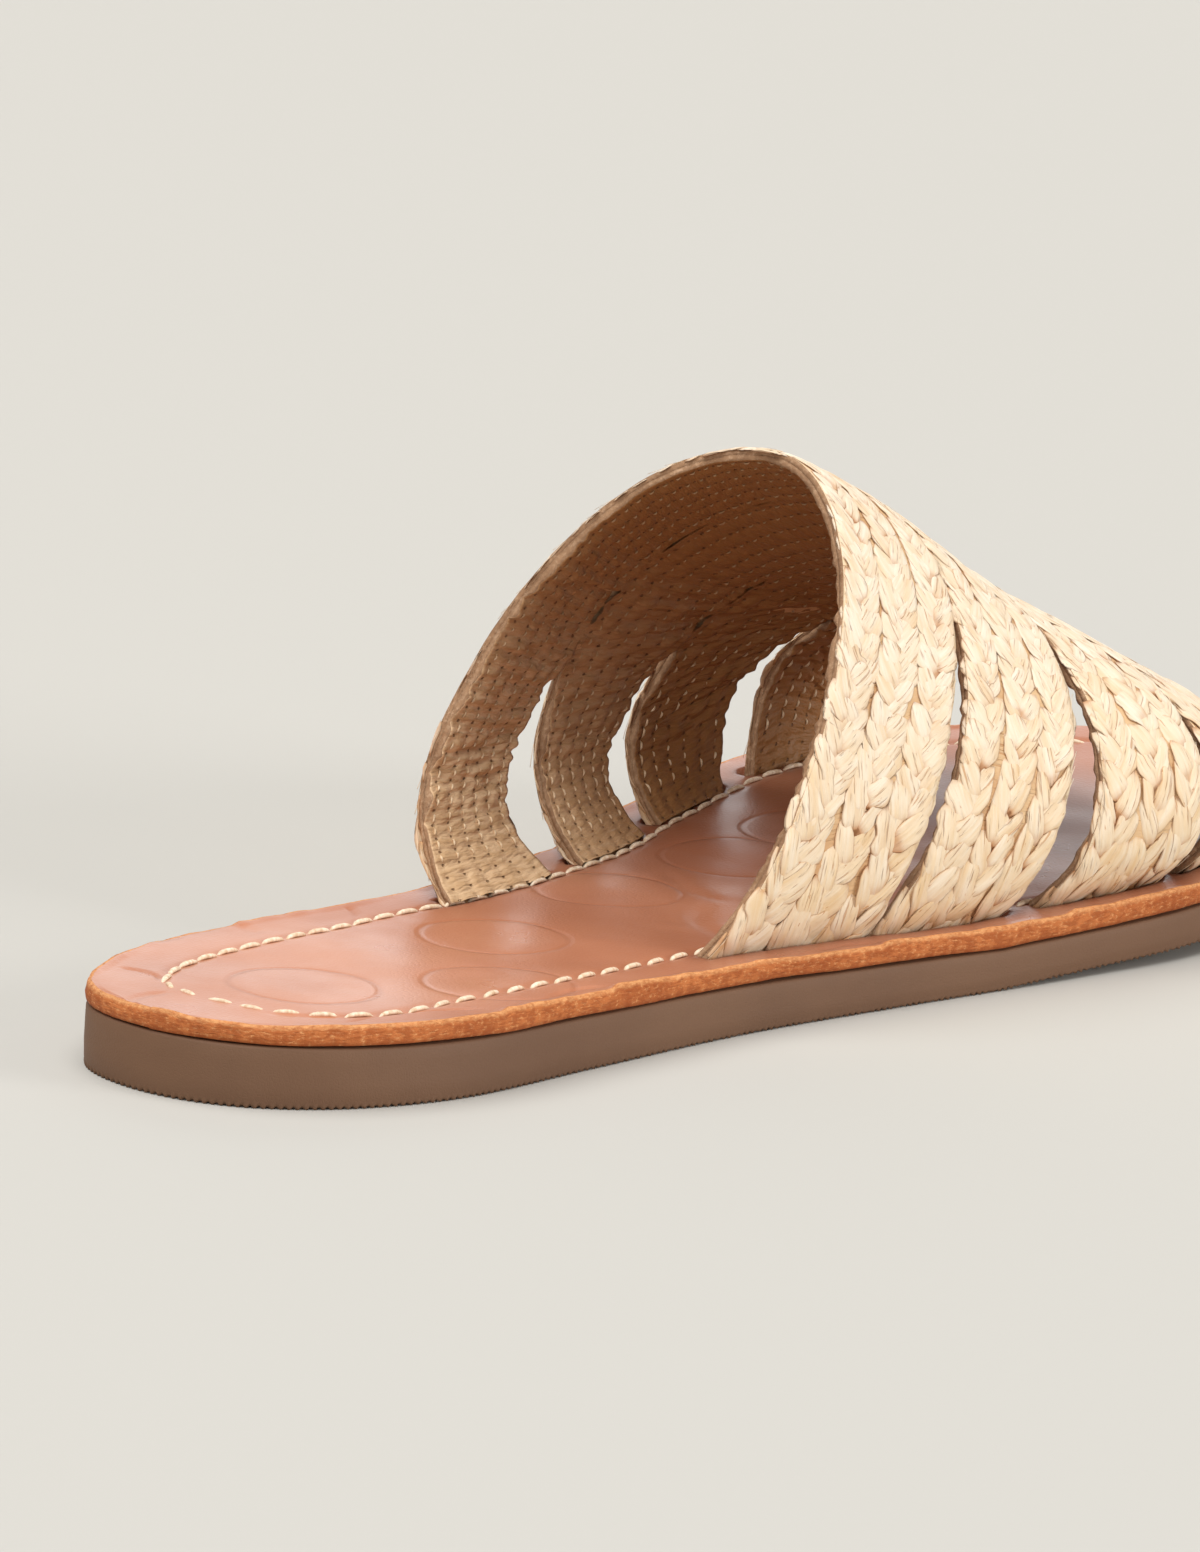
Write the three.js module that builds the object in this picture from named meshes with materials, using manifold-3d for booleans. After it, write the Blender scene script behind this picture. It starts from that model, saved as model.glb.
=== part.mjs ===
// A flat slide sandal: a rubber outsole, a leather insole board and an upper of sewn raffia plaits.
//
// The upper is one hollow wall that springs from slots in the insole, arches over the instep and is
// slit into four straps on each side. It is the right shoe. Lengths are in millimetres, angles in
// degrees, +Z is up, the toe points along -Y and the big-toe side is +X.

import * as THREE from 'three';
import { mergeVertices } from 'three/addons/utils/BufferGeometryUtils.js';
import Module from 'manifold-3d';

const wasm = await Module();
wasm.setup();

// Driving sizes of the sole.
const LENGTH = 250;
const BALL_WIDTH = 94.5;
const HEEL_THICKNESS = 9.3;
const BALL_THICKNESS = 5.7;
const TREAD_BEVEL = 0.9;
const INSOLE_THICKNESS = 3.1;
const TOE_SPRING = 4.6;

// Driving sizes of the upper.
const INSTEP_RISE = 77;
const LINING = 1.2;
const PLAIT_BACK = 0.6;
const PLAIT_CROWN = 0.7;
const PLAITS_IN_STRAP = 3;
const FOOT_INSET = 7.2;
const STRAP_GAP = 9;

// Clearances between pieces that touch on the real shoe.
const LAYER_CLEARANCE = 0.3;
const SLOT_CLEARANCE = 0.3;
const SLOT_END_CLEARANCE = 0.5;

// How finely the curved faces are cut into flat ones.
const SOLE_STATIONS = 44;
const ARCH_STEPS = 28;
const PLAIT_STEPS = 3;
const SLOT_STEPS = 6;

// Steps that slopes are measured over: along the sole's edge as a share of the length, over the
// wall's own two directions, and along the shoe on the wall. Points closer than the weld are one.
const EDGE_STEP = 0.001;
const WALL_STEP = 0.001;
const ROW_STEP = 0.05;
const WELD = 1e-4;

// Outline of the sole. "at" is a share of the length from the heel, "lateral" and "medial" are
// places across the sole as shares of the ball width, with the big-toe side positive.
const OUTLINE = [
  { at: 0.0, lateral: 0.005, medial: 0.005 },
  { at: 0.02, lateral: -0.162, medial: 0.174 },
  { at: 0.062, lateral: -0.262, medial: 0.244 },
  { at: 0.128, lateral: -0.328, medial: 0.292 },
  { at: 0.246, lateral: -0.342, medial: 0.297 },
  { at: 0.379, lateral: -0.356, medial: 0.289 },
  { at: 0.522, lateral: -0.411, medial: 0.352 },
  { at: 0.64, lateral: -0.464, medial: 0.449 },
  { at: 0.736, lateral: -0.494, medial: 0.504 },
  { at: 0.82, lateral: -0.449, medial: 0.5 },
  { at: 0.888, lateral: -0.359, medial: 0.43 },
  { at: 0.948, lateral: -0.221, medial: 0.325 },
  { at: 0.984, lateral: -0.067, medial: 0.196 },
  { at: 1.0, lateral: 0.065, medial: 0.065 },
];

// Shares of the length at which the sole's taper ends and its toe spring starts, and how steeply
// the spring sets in.
const TAPER_END = 0.66;
const SPRING_START = 0.58;
const SPRING_POWER = 0.85;

// Sections of the upper, from the collar's edge to the toe edge, one along each slit between.
// "lateral" and "medial" are the places of the feet as shares of the length, "lean" tips the
// section towards the toe, and "rise" is a share of the instep rise. "ridge" is the place of the
// highest point between the feet, and "widest" is its share of the rise. The bulges are how far the
// wall swells past its feet, as shares of the ball width.
const SECTIONS = [
  {
    at: 0.0, lateral: 0.371, medial: 0.358, lean: 34, rise: 1.0, ridge: 0.47, widest: 0.29,
    lateralBulge: 0.053, medialBulge: 0.121,
  },
  {
    at: 0.25, lateral: 0.497, medial: 0.482, lean: 28.7, rise: 0.82, ridge: 0.53, widest: 0.3,
    lateralBulge: 0.048, medialBulge: 0.143,
  },
  {
    at: 0.5, lateral: 0.614, medial: 0.61, lean: 23.2, rise: 0.606, ridge: 0.54, widest: 0.29,
    lateralBulge: 0.06, medialBulge: 0.095,
  },
  {
    at: 0.75, lateral: 0.739, medial: 0.734, lean: 14, rise: 0.425, ridge: 0.54, widest: 0.28,
    lateralBulge: 0.064, medialBulge: 0.01,
  },
  {
    at: 1.0, lateral: 0.852, medial: 0.831, lean: 15, rise: 0.27, ridge: 0.54, widest: 0.29,
    lateralBulge: 0.055, medialBulge: 0.01,
  },
];

// The slits between the straps. A tip is the share of the way over the arch, from the lateral foot
// at 0 to the medial foot at 1, where the slit ends. A foot gap is how far the slit stands open at
// the insole and a swell how much wider it grows on the way up, as shares of the strap gap. A lean
// is how far the medial slit lies towards the toe of its lateral twin, also as a share of that gap.
const SLITS = [
  {
    at: 0.25, lateralTip: 0.3, lateralFoot: 0.22, lateralSwell: 0.27, medialTip: 0.742,
    medialFoot: 1.1, medialSwell: 0.76, medialLean: -0.16,
  },
  {
    at: 0.5, lateralTip: 0.35, lateralFoot: 0.9, lateralSwell: 0.2, medialTip: 0.735,
    medialFoot: 0.8, medialSwell: 0.48, medialLean: -0.44,
  },
  {
    at: 0.75, lateralTip: 0.34, lateralFoot: 0.45, lateralSwell: 0.3, medialTip: 0.737,
    medialFoot: 1.0, medialSwell: 0.36, medialLean: -0.28,
  },
];

const STRAPS = SLITS.length + 1;
const WALL = LINING + PLAIT_BACK;
const INNER_OFFSET = -WALL / 2;
const VALLEY_OFFSET = WALL / 2;
const CROWN_OFFSET = VALLEY_OFFSET + PLAIT_CROWN;
const STRAP_COLUMNS = PLAITS_IN_STRAP * PLAIT_STEPS;
const STRAP_ROWS = ARCH_STEPS + 2;

// A smooth curve through one column of a table: cubic pieces, each row's slope from its neighbours.
function valueAt(table, name, at) {
  const last = table.length - 1;
  let row = 0;
  while (row < last - 1 && at > table[row + 1].at) row += 1;
  const rate = (index) => {
    const before = table[index];
    const after = table[index + 1];
    return (after[name] - before[name]) / (after.at - before.at);
  };
  const slope = (index) => {
    if (index === 0) return rate(0);
    if (index === last) return rate(last - 1);
    const before = table[index].at - table[index - 1].at;
    const after = table[index + 1].at - table[index].at;
    return (rate(index - 1) * after + rate(index) * before) / (before + after);
  };
  const start = table[row];
  const end = table[row + 1];
  const span = end.at - start.at;
  const u = (at - start.at) / span;
  const ease = u * u * (3 - 2 * u);
  const fromStart = u * (1 - u) * (1 - u) * span * slope(row);
  const fromEnd = u * u * (1 - u) * span * slope(row + 1);
  return start[name] * (1 - ease) + end[name] * ease + fromStart - fromEnd;
}

// The outline's table with its places turned into angles, so that heel and toe come out round.
const angleOf = (share) => Math.acos(1 - 2 * share) / Math.PI;
const ROUND_OUTLINE = OUTLINE.map((row) => ({ ...row, at: angleOf(row.at) }));

// Place of the sole's edge across the sole, at a distance from the heel. The side is "lateral" or
// "medial".
function edgeAcross(side, along) {
  const share = Math.min(Math.max(along / LENGTH, 0), 1);
  return BALL_WIDTH * valueAt(ROUND_OUTLINE, side, angleOf(share));
}

// The middle of the sole's greatest width, which the model is centred on.
function middleAcross() {
  let low = 0;
  let high = 0;
  for (let station = 0; station <= SOLE_STATIONS; station += 1) {
    const along = stationAlong(station);
    low = Math.min(low, edgeAcross('lateral', along));
    high = Math.max(high, edgeAcross('medial', along));
  }
  return (low + high) / 2;
}

// Distance of a station from the heel, with stations closer together at heel and toe.
function stationAlong(station) {
  return LENGTH * (1 - Math.cos(Math.PI * station / SOLE_STATIONS)) / 2;
}

const MIDDLE = middleAcross();

// A point of the model from its distance from the heel, its place across and its height.
function place(along, across, height) {
  return new THREE.Vector3(across - MIDDLE, LENGTH / 2 - along, height);
}

// Height of the sole's underside, which is flat up to where the toe spring starts.
function soleBottom(along) {
  const rising = Math.max(along / LENGTH - SPRING_START, 0) / (1 - SPRING_START);
  return TOE_SPRING * rising ** SPRING_POWER;
}

function soleTop(along) {
  const taper = Math.min(Math.max(along / LENGTH / TAPER_END, 0), 1);
  return soleBottom(along) + HEEL_THICKNESS + (BALL_THICKNESS - HEEL_THICKNESS) * taper;
}

const insoleBottom = (along) => soleTop(along) + LAYER_CLEARANCE;
const insoleTop = (along) => insoleBottom(along) + INSOLE_THICKNESS;

// Collects the points and flat faces of one closed surface. Faces turn anticlockwise seen from
// outside, and a face with two corners in one place is left out.
function surface() {
  const positions = [];
  const corners = [];
  const point = (position) => {
    positions.push(position.x, position.y, position.z);
    return positions.length / 3 - 1;
  };
  const triangle = (a, b, c) => {
    if (a !== b && b !== c && c !== a) corners.push(a, b, c);
  };
  const quad = (a, b, c, d) => {
    triangle(a, b, c);
    triangle(a, c, d);
  };
  const finish = () => {
    const geometry = new THREE.BufferGeometry();
    geometry.setAttribute('position', new THREE.Float32BufferAttribute(positions, 3));
    geometry.setIndex(corners);
    return mergeVertices(geometry, WELD);
  };
  return { point, quad, finish };
}

// A closed solid from rings of points that run round the outline, from the lowest ring up. Each
// ring is given by how far it lies inside the edge and by a function for its height.
function layer(rings) {
  const { point, quad, finish } = surface();
  const count = 2 * SOLE_STATIONS;
  const ringPoints = rings.map(({ inset, height }) => {
    const points = [];
    for (let step = 0; step < count; step += 1) {
      const side = step <= SOLE_STATIONS ? 'lateral' : 'medial';
      const station = step <= SOLE_STATIONS ? step : count - step;
      const edge = insetPoint(side, stationAlong(station), inset);
      points.push(point(place(edge.along, edge.across, height(edge.along))));
    }
    return points;
  });
  for (let ring = 0; ring + 1 < rings.length; ring += 1) {
    const low = ringPoints[ring];
    const high = ringPoints[ring + 1];
    for (let step = 0; step < count; step += 1) {
      const next = (step + 1) % count;
      quad(low[step], low[next], high[next], high[step]);
    }
  }
  const bottom = ringPoints[0];
  const top = ringPoints[rings.length - 1];
  for (let station = 0; station < SOLE_STATIONS; station += 1) {
    const across = (count - station) % count;
    const acrossNext = count - station - 1;
    quad(bottom[station], bottom[across], bottom[acrossNext], bottom[station + 1]);
    quad(top[station], top[station + 1], top[acrossNext], top[across]);
  }
  return finish();
}

// A point inside the edge, square to it, by a given distance.
function insetPoint(side, along, inset) {
  const before = Math.max(along - EDGE_STEP * LENGTH, 0);
  const after = Math.min(along + EDGE_STEP * LENGTH, LENGTH);
  const widening = edgeAcross(side, after) - edgeAcross(side, before);
  const tangent = new THREE.Vector2(after - before, widening).normalize();
  const inward = side === 'lateral' ? inset : -inset;
  return {
    along: along - tangent.y * inward,
    across: edgeAcross(side, along) + tangent.x * inward,
  };
}

function solidOf(geometry) {
  const vertProperties = new Float32Array(geometry.getAttribute('position').array);
  const triVerts = new Uint32Array(geometry.getIndex().array);
  return new wasm.Manifold(new wasm.Mesh({ numProp: 3, vertProperties, triVerts }));
}

function geometryFrom(solid) {
  const mesh = solid.getMesh();
  const geometry = new THREE.BufferGeometry();
  geometry.setAttribute('position', new THREE.Float32BufferAttribute(mesh.vertProperties, 3));
  geometry.setIndex(new THREE.Uint32BufferAttribute(mesh.triVerts, 1));
  return geometry;
}

// Where a strap's foot meets the insole, in the middle of its wall.
function footPoint(side, s) {
  return insetPoint(side, LENGTH * valueAt(SECTIONS, side, s), FOOT_INSET);
}

// Height at which the wall leaves the upright part of its foot.
const springHeight = (along) => insoleTop(along) + LAYER_CLEARANCE;

// A point in the middle of the upper's wall. "s" runs from the collar to the toe edge, and "t" over
// the arch from the lateral foot to the medial foot. Each half of an arch is a quarter of an ellipse
// above its widest place and a part of another below it.
function archPoint(s, t) {
  const lateralFoot = footPoint('lateral', s);
  const medialFoot = footPoint('medial', s);
  const start = place(lateralFoot.along, lateralFoot.across, springHeight(lateralFoot.along));
  const end = place(medialFoot.along, medialFoot.across, springHeight(medialFoot.along));
  const span = start.distanceTo(end);
  const acrossFoot = end.clone().sub(start).normalize();
  const towardsToe = new THREE.Vector3(acrossFoot.y, -acrossFoot.x, 0).normalize();
  const upright = towardsToe.clone().cross(acrossFoot).normalize();
  const lean = THREE.MathUtils.degToRad(valueAt(SECTIONS, 'lean', s));
  const rising = upright.multiplyScalar(Math.cos(lean)).addScaledVector(towardsToe, Math.sin(lean));

  const rise = INSTEP_RISE * valueAt(SECTIONS, 'rise', s);
  const widestHeight = rise * valueAt(SECTIONS, 'widest', s);
  const ridge = span * valueAt(SECTIONS, 'ridge', s);
  const lateralHalf = ridge + BALL_WIDTH * valueAt(SECTIONS, 'lateralBulge', s);
  const medialHalf = span - ridge + BALL_WIDTH * valueAt(SECTIONS, 'medialBulge', s);
  const lateralTuck = Math.acos(ridge / lateralHalf);
  const medialTuck = Math.acos((span - ridge) / medialHalf);
  const angle = -lateralTuck + t * (Math.PI + lateralTuck + medialTuck);
  const half = angle <= Math.PI / 2 ? lateralHalf : medialHalf;
  const tuck = angle <= Math.PI / 2 ? lateralTuck : medialTuck;
  const swing = Math.sin(angle);
  const reach = swing >= 0 ? rise - widestHeight : widestHeight / Math.sin(tuck);
  return start
    .addScaledVector(acrossFoot, ridge - half * Math.cos(angle))
    .addScaledVector(rising, widestHeight + reach * swing);
}

// The wall's outward direction. At the feet it is level, so that the ends drop straight down.
function archNormal(s, t) {
  const rear = archPoint(Math.max(s - WALL_STEP, 0), t);
  const front = archPoint(Math.min(s + WALL_STEP, 1), t);
  const lower = archPoint(s, Math.max(t - WALL_STEP, 0));
  const upper = archPoint(s, Math.min(t + WALL_STEP, 1));
  const normal = front.sub(rear).cross(upper.sub(lower)).normalize();
  if (t === 0 || t === 1) normal.z = 0;
  return normal.normalize();
}

// How much of the section scale half a slit takes up at a place on the arch.
function halfSlit(slit, t) {
  const lateral = t < 0.5;
  const tip = lateral ? slit.lateralTip : slit.medialTip;
  const climb = lateral ? t / tip : (1 - t) / (1 - tip);
  if (climb >= 1) return 0;
  const foot = lateral ? slit.lateralFoot : slit.medialFoot;
  const swell = lateral ? slit.lateralSwell : slit.medialSwell;
  const gap = STRAP_GAP * (foot * (1 - climb) + swell * 4 * climb * (1 - climb));
  return gap / 2 / rowLength(slit.at, t);
}

// Distance along the shoe that one whole unit of "s" covers at a place on the arch.
function rowLength(s, t) {
  const front = archPoint(s + ROW_STEP, t);
  const rear = archPoint(s - ROW_STEP, t);
  return front.distanceTo(rear) / (2 * ROW_STEP);
}

// The section at which a strap starts or ends, at a place on the arch.
function strapEdge(strap, end, t) {
  const boundary = strap + end;
  if (boundary === 0 || boundary === STRAPS) return boundary / STRAPS;
  const slit = SLITS[boundary - 1];
  return slit.at + slitLean(slit, t) + (end === 0 ? 1 : -1) * halfSlit(slit, t);
}

// How much of the section scale a slit's middle is moved by, from nothing at its medial tip.
function slitLean(slit, t) {
  const way = Math.min(Math.max((2 * (t - slit.medialTip)) / (1 - slit.medialTip), 0), 1);
  return (STRAP_GAP * slit.medialLean * way * way * (3 - 2 * way)) / rowLength(slit.at, t);
}

// Place over the arch of a row of the wall's points. The first and last rows are the strap's feet.
function archPlace(row) {
  return Math.min(Math.max((row - 1) / ARCH_STEPS, 0), 1);
}

// Whether a strap's edge stands free between a row and the next, at the collar, the toe edge or an
// open slit.
function standsFree(boundary, row) {
  if (boundary === 0 || boundary === STRAPS) return true;
  const slit = SLITS[boundary - 1];
  return halfSlit(slit, archPlace(row)) > 0 || halfSlit(slit, archPlace(row + 1)) > 0;
}

// A point of a strap's wall. Its column runs along the shoe and its row over the arch, and the
// offset is how far it lies outside the middle of the wall. The first and last rows stand on the
// outsole.
function strapPoint(strap, column, row, offset) {
  const t = archPlace(row);
  const rear = strapEdge(strap, 0, t);
  const front = strapEdge(strap, 1, t);
  const s = rear + (front - rear) * column / STRAP_COLUMNS;
  const point = archPoint(s, t).addScaledVector(archNormal(s, t), offset);
  if (row === 0 || row === STRAP_ROWS) {
    const foot = footPoint(t === 0 ? 'lateral' : 'medial', s);
    point.z = soleTop(foot.along) + LAYER_CLEARANCE;
  }
  return point;
}

// The upper's wall: straps of plaits side by side, which share their edges over the instep where
// the slits are shut. Each has an inside, an outside with raised plaits, and a rim where it stands
// free.
function upperGeometry() {
  const { point, quad, finish } = surface();
  for (let strap = 0; strap < STRAPS; strap += 1) {
    const inside = [];
    const outside = [];
    for (let row = 0; row <= STRAP_ROWS; row += 1) {
      inside.push([]);
      outside.push([]);
      for (let column = 0; column <= STRAP_COLUMNS; column += 1) {
        const outer = column % PLAIT_STEPS === 0 ? VALLEY_OFFSET : CROWN_OFFSET;
        inside[row].push(point(strapPoint(strap, column, row, INNER_OFFSET)));
        outside[row].push(point(strapPoint(strap, column, row, outer)));
      }
    }
    for (let row = 0; row < STRAP_ROWS; row += 1) {
      const [lowIn, highIn] = [inside[row], inside[row + 1]];
      const [lowOut, highOut] = [outside[row], outside[row + 1]];
      for (let column = 0; column < STRAP_COLUMNS; column += 1) {
        const next = column + 1;
        quad(lowOut[column], lowOut[next], highOut[next], highOut[column]);
        quad(lowIn[column], highIn[column], highIn[next], lowIn[next]);
      }
      if (standsFree(strap, row)) {
        quad(lowIn[0], lowOut[0], highOut[0], highIn[0]);
      }
      if (standsFree(strap + 1, row)) {
        const last = STRAP_COLUMNS;
        quad(lowIn[last], highIn[last], highOut[last], lowOut[last]);
      }
    }
    for (let column = 0; column < STRAP_COLUMNS; column += 1) {
      const next = column + 1;
      const [startIn, startOut] = [inside[0], outside[0]];
      const [endIn, endOut] = [inside[STRAP_ROWS], outside[STRAP_ROWS]];
      quad(startIn[column], startIn[next], startOut[next], startOut[column]);
      quad(endIn[column], endOut[column], endOut[next], endIn[next]);
    }
  }
  return finish();
}

// The slot in the insole that one foot of a strap passes through, taller than the board.
function slotGeometry(strap, side) {
  const { point, quad, finish } = surface();
  const t = side === 'lateral' ? 0 : 1;
  const rear = strapEdge(strap, 0, t);
  const front = strapEdge(strap, 1, t);
  const spare = SLOT_END_CLEARANCE / rowLength((strap + 0.5) / STRAPS, t);
  const sections = [];
  for (let step = 0; step <= SLOT_STEPS; step += 1) {
    const s = rear - spare + (front - rear + 2 * spare) * step / SLOT_STEPS;
    const foot = footPoint(side, s);
    const outward = archNormal(Math.min(Math.max(s, 0), 1), t);
    const middle = place(foot.along, foot.across, 0);
    const inner = middle.clone().addScaledVector(outward, INNER_OFFSET - SLOT_CLEARANCE);
    const outer = middle.clone().addScaledVector(outward, CROWN_OFFSET + SLOT_CLEARANCE);
    const low = soleTop(foot.along) - INSOLE_THICKNESS;
    const high = insoleTop(foot.along) + INSOLE_THICKNESS;
    const section = [
      point(inner.clone().setZ(low)),
      point(outer.clone().setZ(low)),
      point(outer.clone().setZ(high)),
      point(inner.clone().setZ(high)),
    ];
    if (side === 'lateral') section.reverse();
    sections.push(section);
  }
  for (let step = 0; step < SLOT_STEPS; step += 1) {
    const [here, there] = [sections[step], sections[step + 1]];
    for (let corner = 0; corner < here.length; corner += 1) {
      const next = (corner + 1) % here.length;
      quad(here[corner], here[next], there[next], there[corner]);
    }
  }
  const [a, b, c, d] = sections[0];
  quad(a, d, c, b);
  quad(...sections[SLOT_STEPS]);
  return finish();
}

function outsole() {
  const material = new THREE.MeshStandardMaterial({ color: 0x8a6852, roughness: 0.75, metalness: 0 });
  const geometry = layer([
    { inset: TREAD_BEVEL, height: soleBottom },
    { inset: 0, height: (along) => soleBottom(along) + TREAD_BEVEL },
    { inset: 0, height: soleTop },
  ]);
  return named('outsole', geometry, material);
}

function insole() {
  const material = new THREE.MeshStandardMaterial({ color: 0xc98d6d, roughness: 0.45, metalness: 0 });
  let board = solidOf(layer([
    { inset: 0, height: insoleBottom },
    { inset: 0, height: insoleTop },
  ]));
  for (let strap = 0; strap < STRAPS; strap += 1) {
    for (const side of ['lateral', 'medial']) {
      board = board.subtract(solidOf(slotGeometry(strap, side)));
    }
  }
  return named('insole', geometryFrom(board), material);
}

function upper() {
  const material = new THREE.MeshStandardMaterial({ color: 0xf0dcb8, roughness: 0.7, metalness: 0 });
  return named('upper', upperGeometry(), material);
}

function named(name, geometry, material) {
  const mesh = new THREE.Mesh(geometry, material);
  mesh.name = name;
  return mesh;
}

const sandal = new THREE.Group();
sandal.add(outsole(), insole(), upper());

export default sandal;
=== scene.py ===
"""A raffia slide sandal, right shoe, dressed for a plain studio picture.

The frame gives the solids of the outsole, the insole and the upper. Each of them is replaced here by
finer pieces of the same form: plaited raffia over a stitched leather lining, a leather board with its
seam and a moulded rubber sole. Lengths are in metres, +Z is up and the toe points along -Y.
"""

import logging
import math
from dataclasses import dataclass, field, replace
from enum import Enum
from typing import NamedTuple, Sequence

import bmesh
import bpy
import numpy as np
from mathutils import Matrix, Vector


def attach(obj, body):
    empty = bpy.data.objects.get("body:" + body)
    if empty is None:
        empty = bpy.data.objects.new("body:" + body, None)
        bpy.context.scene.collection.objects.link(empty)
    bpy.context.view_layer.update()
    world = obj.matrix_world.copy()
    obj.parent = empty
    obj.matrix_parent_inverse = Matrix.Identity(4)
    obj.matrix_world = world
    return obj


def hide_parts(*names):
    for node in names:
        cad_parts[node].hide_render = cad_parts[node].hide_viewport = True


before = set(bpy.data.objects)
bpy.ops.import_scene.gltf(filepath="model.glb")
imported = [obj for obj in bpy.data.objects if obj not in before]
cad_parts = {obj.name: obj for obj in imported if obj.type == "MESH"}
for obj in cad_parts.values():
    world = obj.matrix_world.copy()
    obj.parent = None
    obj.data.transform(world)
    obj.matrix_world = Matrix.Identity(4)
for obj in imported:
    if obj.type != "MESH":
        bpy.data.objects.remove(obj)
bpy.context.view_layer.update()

MM = 0.001
BODY = "root"
LOG = logging.getLogger("raffia slide")


class Side(Enum):
    """The two sides of the shoe, and the sign of each across it."""

    LATERAL = -1
    MEDIAL = 1

    @property
    def column(self) -> str:
        """Name of this side's column in the tables."""
        return self.name.lower()


class EdgeRow(NamedTuple):
    """A row of the sole's outline, as shares of its length and ball width."""

    at: float
    lateral: float
    medial: float


class SectionRow(NamedTuple):
    """A row of the upper's sections, from the collar's edge to the toe edge."""

    at: float
    lateral: float
    medial: float
    lean: float
    rise: float
    ridge: float
    widest: float
    lateral_bulge: float
    medial_bulge: float


class SlitRow(NamedTuple):
    """A slit between two straps.

    A tip is where the slit ends over the arch. Foot and swell are its widths at the foot and halfway up,
    and the lean is how far the medial slit lies towards the toe, all as shares of the strap gap.
    """

    at: float
    lateral_tip: float
    lateral_foot: float
    lateral_swell: float
    medial_tip: float
    medial_foot: float
    medial_swell: float
    medial_lean: float


class SeamRow(NamedTuple):
    """The seam's distance inside each edge of the board at a distance from the heel, in millimetres."""

    at: float
    lateral: float
    medial: float


OUTLINE = (
    EdgeRow(0.0, 0.005, 0.005),
    EdgeRow(0.02, -0.162, 0.174),
    EdgeRow(0.062, -0.262, 0.244),
    EdgeRow(0.128, -0.328, 0.292),
    EdgeRow(0.246, -0.342, 0.297),
    EdgeRow(0.379, -0.356, 0.289),
    EdgeRow(0.522, -0.411, 0.352),
    EdgeRow(0.64, -0.464, 0.449),
    EdgeRow(0.736, -0.494, 0.504),
    EdgeRow(0.82, -0.449, 0.5),
    EdgeRow(0.888, -0.359, 0.43),
    EdgeRow(0.948, -0.221, 0.325),
    EdgeRow(0.984, -0.067, 0.196),
    EdgeRow(1.0, 0.065, 0.065),
)

SECTIONS = (
    SectionRow(0.0, 0.371, 0.358, 34.0, 1.0, 0.47, 0.29, 0.053, 0.121),
    SectionRow(0.25, 0.497, 0.482, 28.7, 0.82, 0.53, 0.3, 0.048, 0.143),
    SectionRow(0.5, 0.614, 0.61, 23.2, 0.606, 0.54, 0.29, 0.06, 0.095),
    SectionRow(0.75, 0.739, 0.734, 14.0, 0.425, 0.54, 0.28, 0.064, 0.01),
    SectionRow(1.0, 0.852, 0.831, 15.0, 0.27, 0.54, 0.29, 0.055, 0.01),
)

SLITS = (
    SlitRow(0.25, 0.3, 0.22, 0.27, 0.742, 1.1, 0.76, -0.16),
    SlitRow(0.5, 0.35, 0.9, 0.2, 0.735, 0.8, 0.48, -0.44),
    SlitRow(0.75, 0.34, 0.45, 0.3, 0.737, 1.0, 0.36, -0.28),
)

SEAM = (
    SeamRow(0.0, 11.4, 11.4),
    SeamRow(5.0, 9.6, 11.3),
    SeamRow(12.0, 8.2, 10.7),
    SeamRow(21.0, 7.0, 10.1),
    SeamRow(30.0, 7.7, 10.5),
    SeamRow(38.0, 9.2, 10.6),
    SeamRow(50.0, 8.7, 10.4),
    SeamRow(64.0, 8.7, 9.8),
    SeamRow(80.0, 9.1, 8.3),
    SeamRow(96.0, 9.8, 8.8),
    SeamRow(120.0, 9.4, 9.4),
    SeamRow(250.0, 9.4, 9.4),
)


def smooth_column(rows: Sequence[NamedTuple], name: str, at: np.ndarray) -> np.ndarray:
    """A smooth curve through one column of a table.

    Args:
        rows: the table, with a column called "at" that rises from row to row.
        name: the column to read.
        at: where to read it.

    Returns:
        The column's value at each place.
    """
    knots = np.array([row.at for row in rows])
    values = np.array([getattr(row, name) for row in rows])
    gaps = np.diff(knots)
    rates = np.diff(values) / gaps
    slopes = np.empty_like(values)
    slopes[0], slopes[-1] = rates[0], rates[-1]
    slopes[1:-1] = (rates[:-1] * gaps[1:] + rates[1:] * gaps[:-1]) / (gaps[1:] + gaps[:-1])
    at = np.asarray(at, float)
    row = np.clip(np.searchsorted(knots, at, side="left") - 1, 0, len(gaps) - 1)
    u = (at - knots[row]) / gaps[row]
    ease = u * u * (3 - 2 * u)
    from_start = u * (1 - u) ** 2 * gaps[row] * slopes[row]
    from_end = u * u * (1 - u) * gaps[row] * slopes[row + 1]
    return values[row] * (1 - ease) + values[row + 1] * ease + from_start - from_end


def smooth_step(low: float, high: float, value: np.ndarray) -> np.ndarray:
    """Eases from 0 at the low value to 1 at the high value."""
    u = np.clip((np.asarray(value, float) - low) / (high - low), 0, 1)
    return u * u * (3 - 2 * u)


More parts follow.
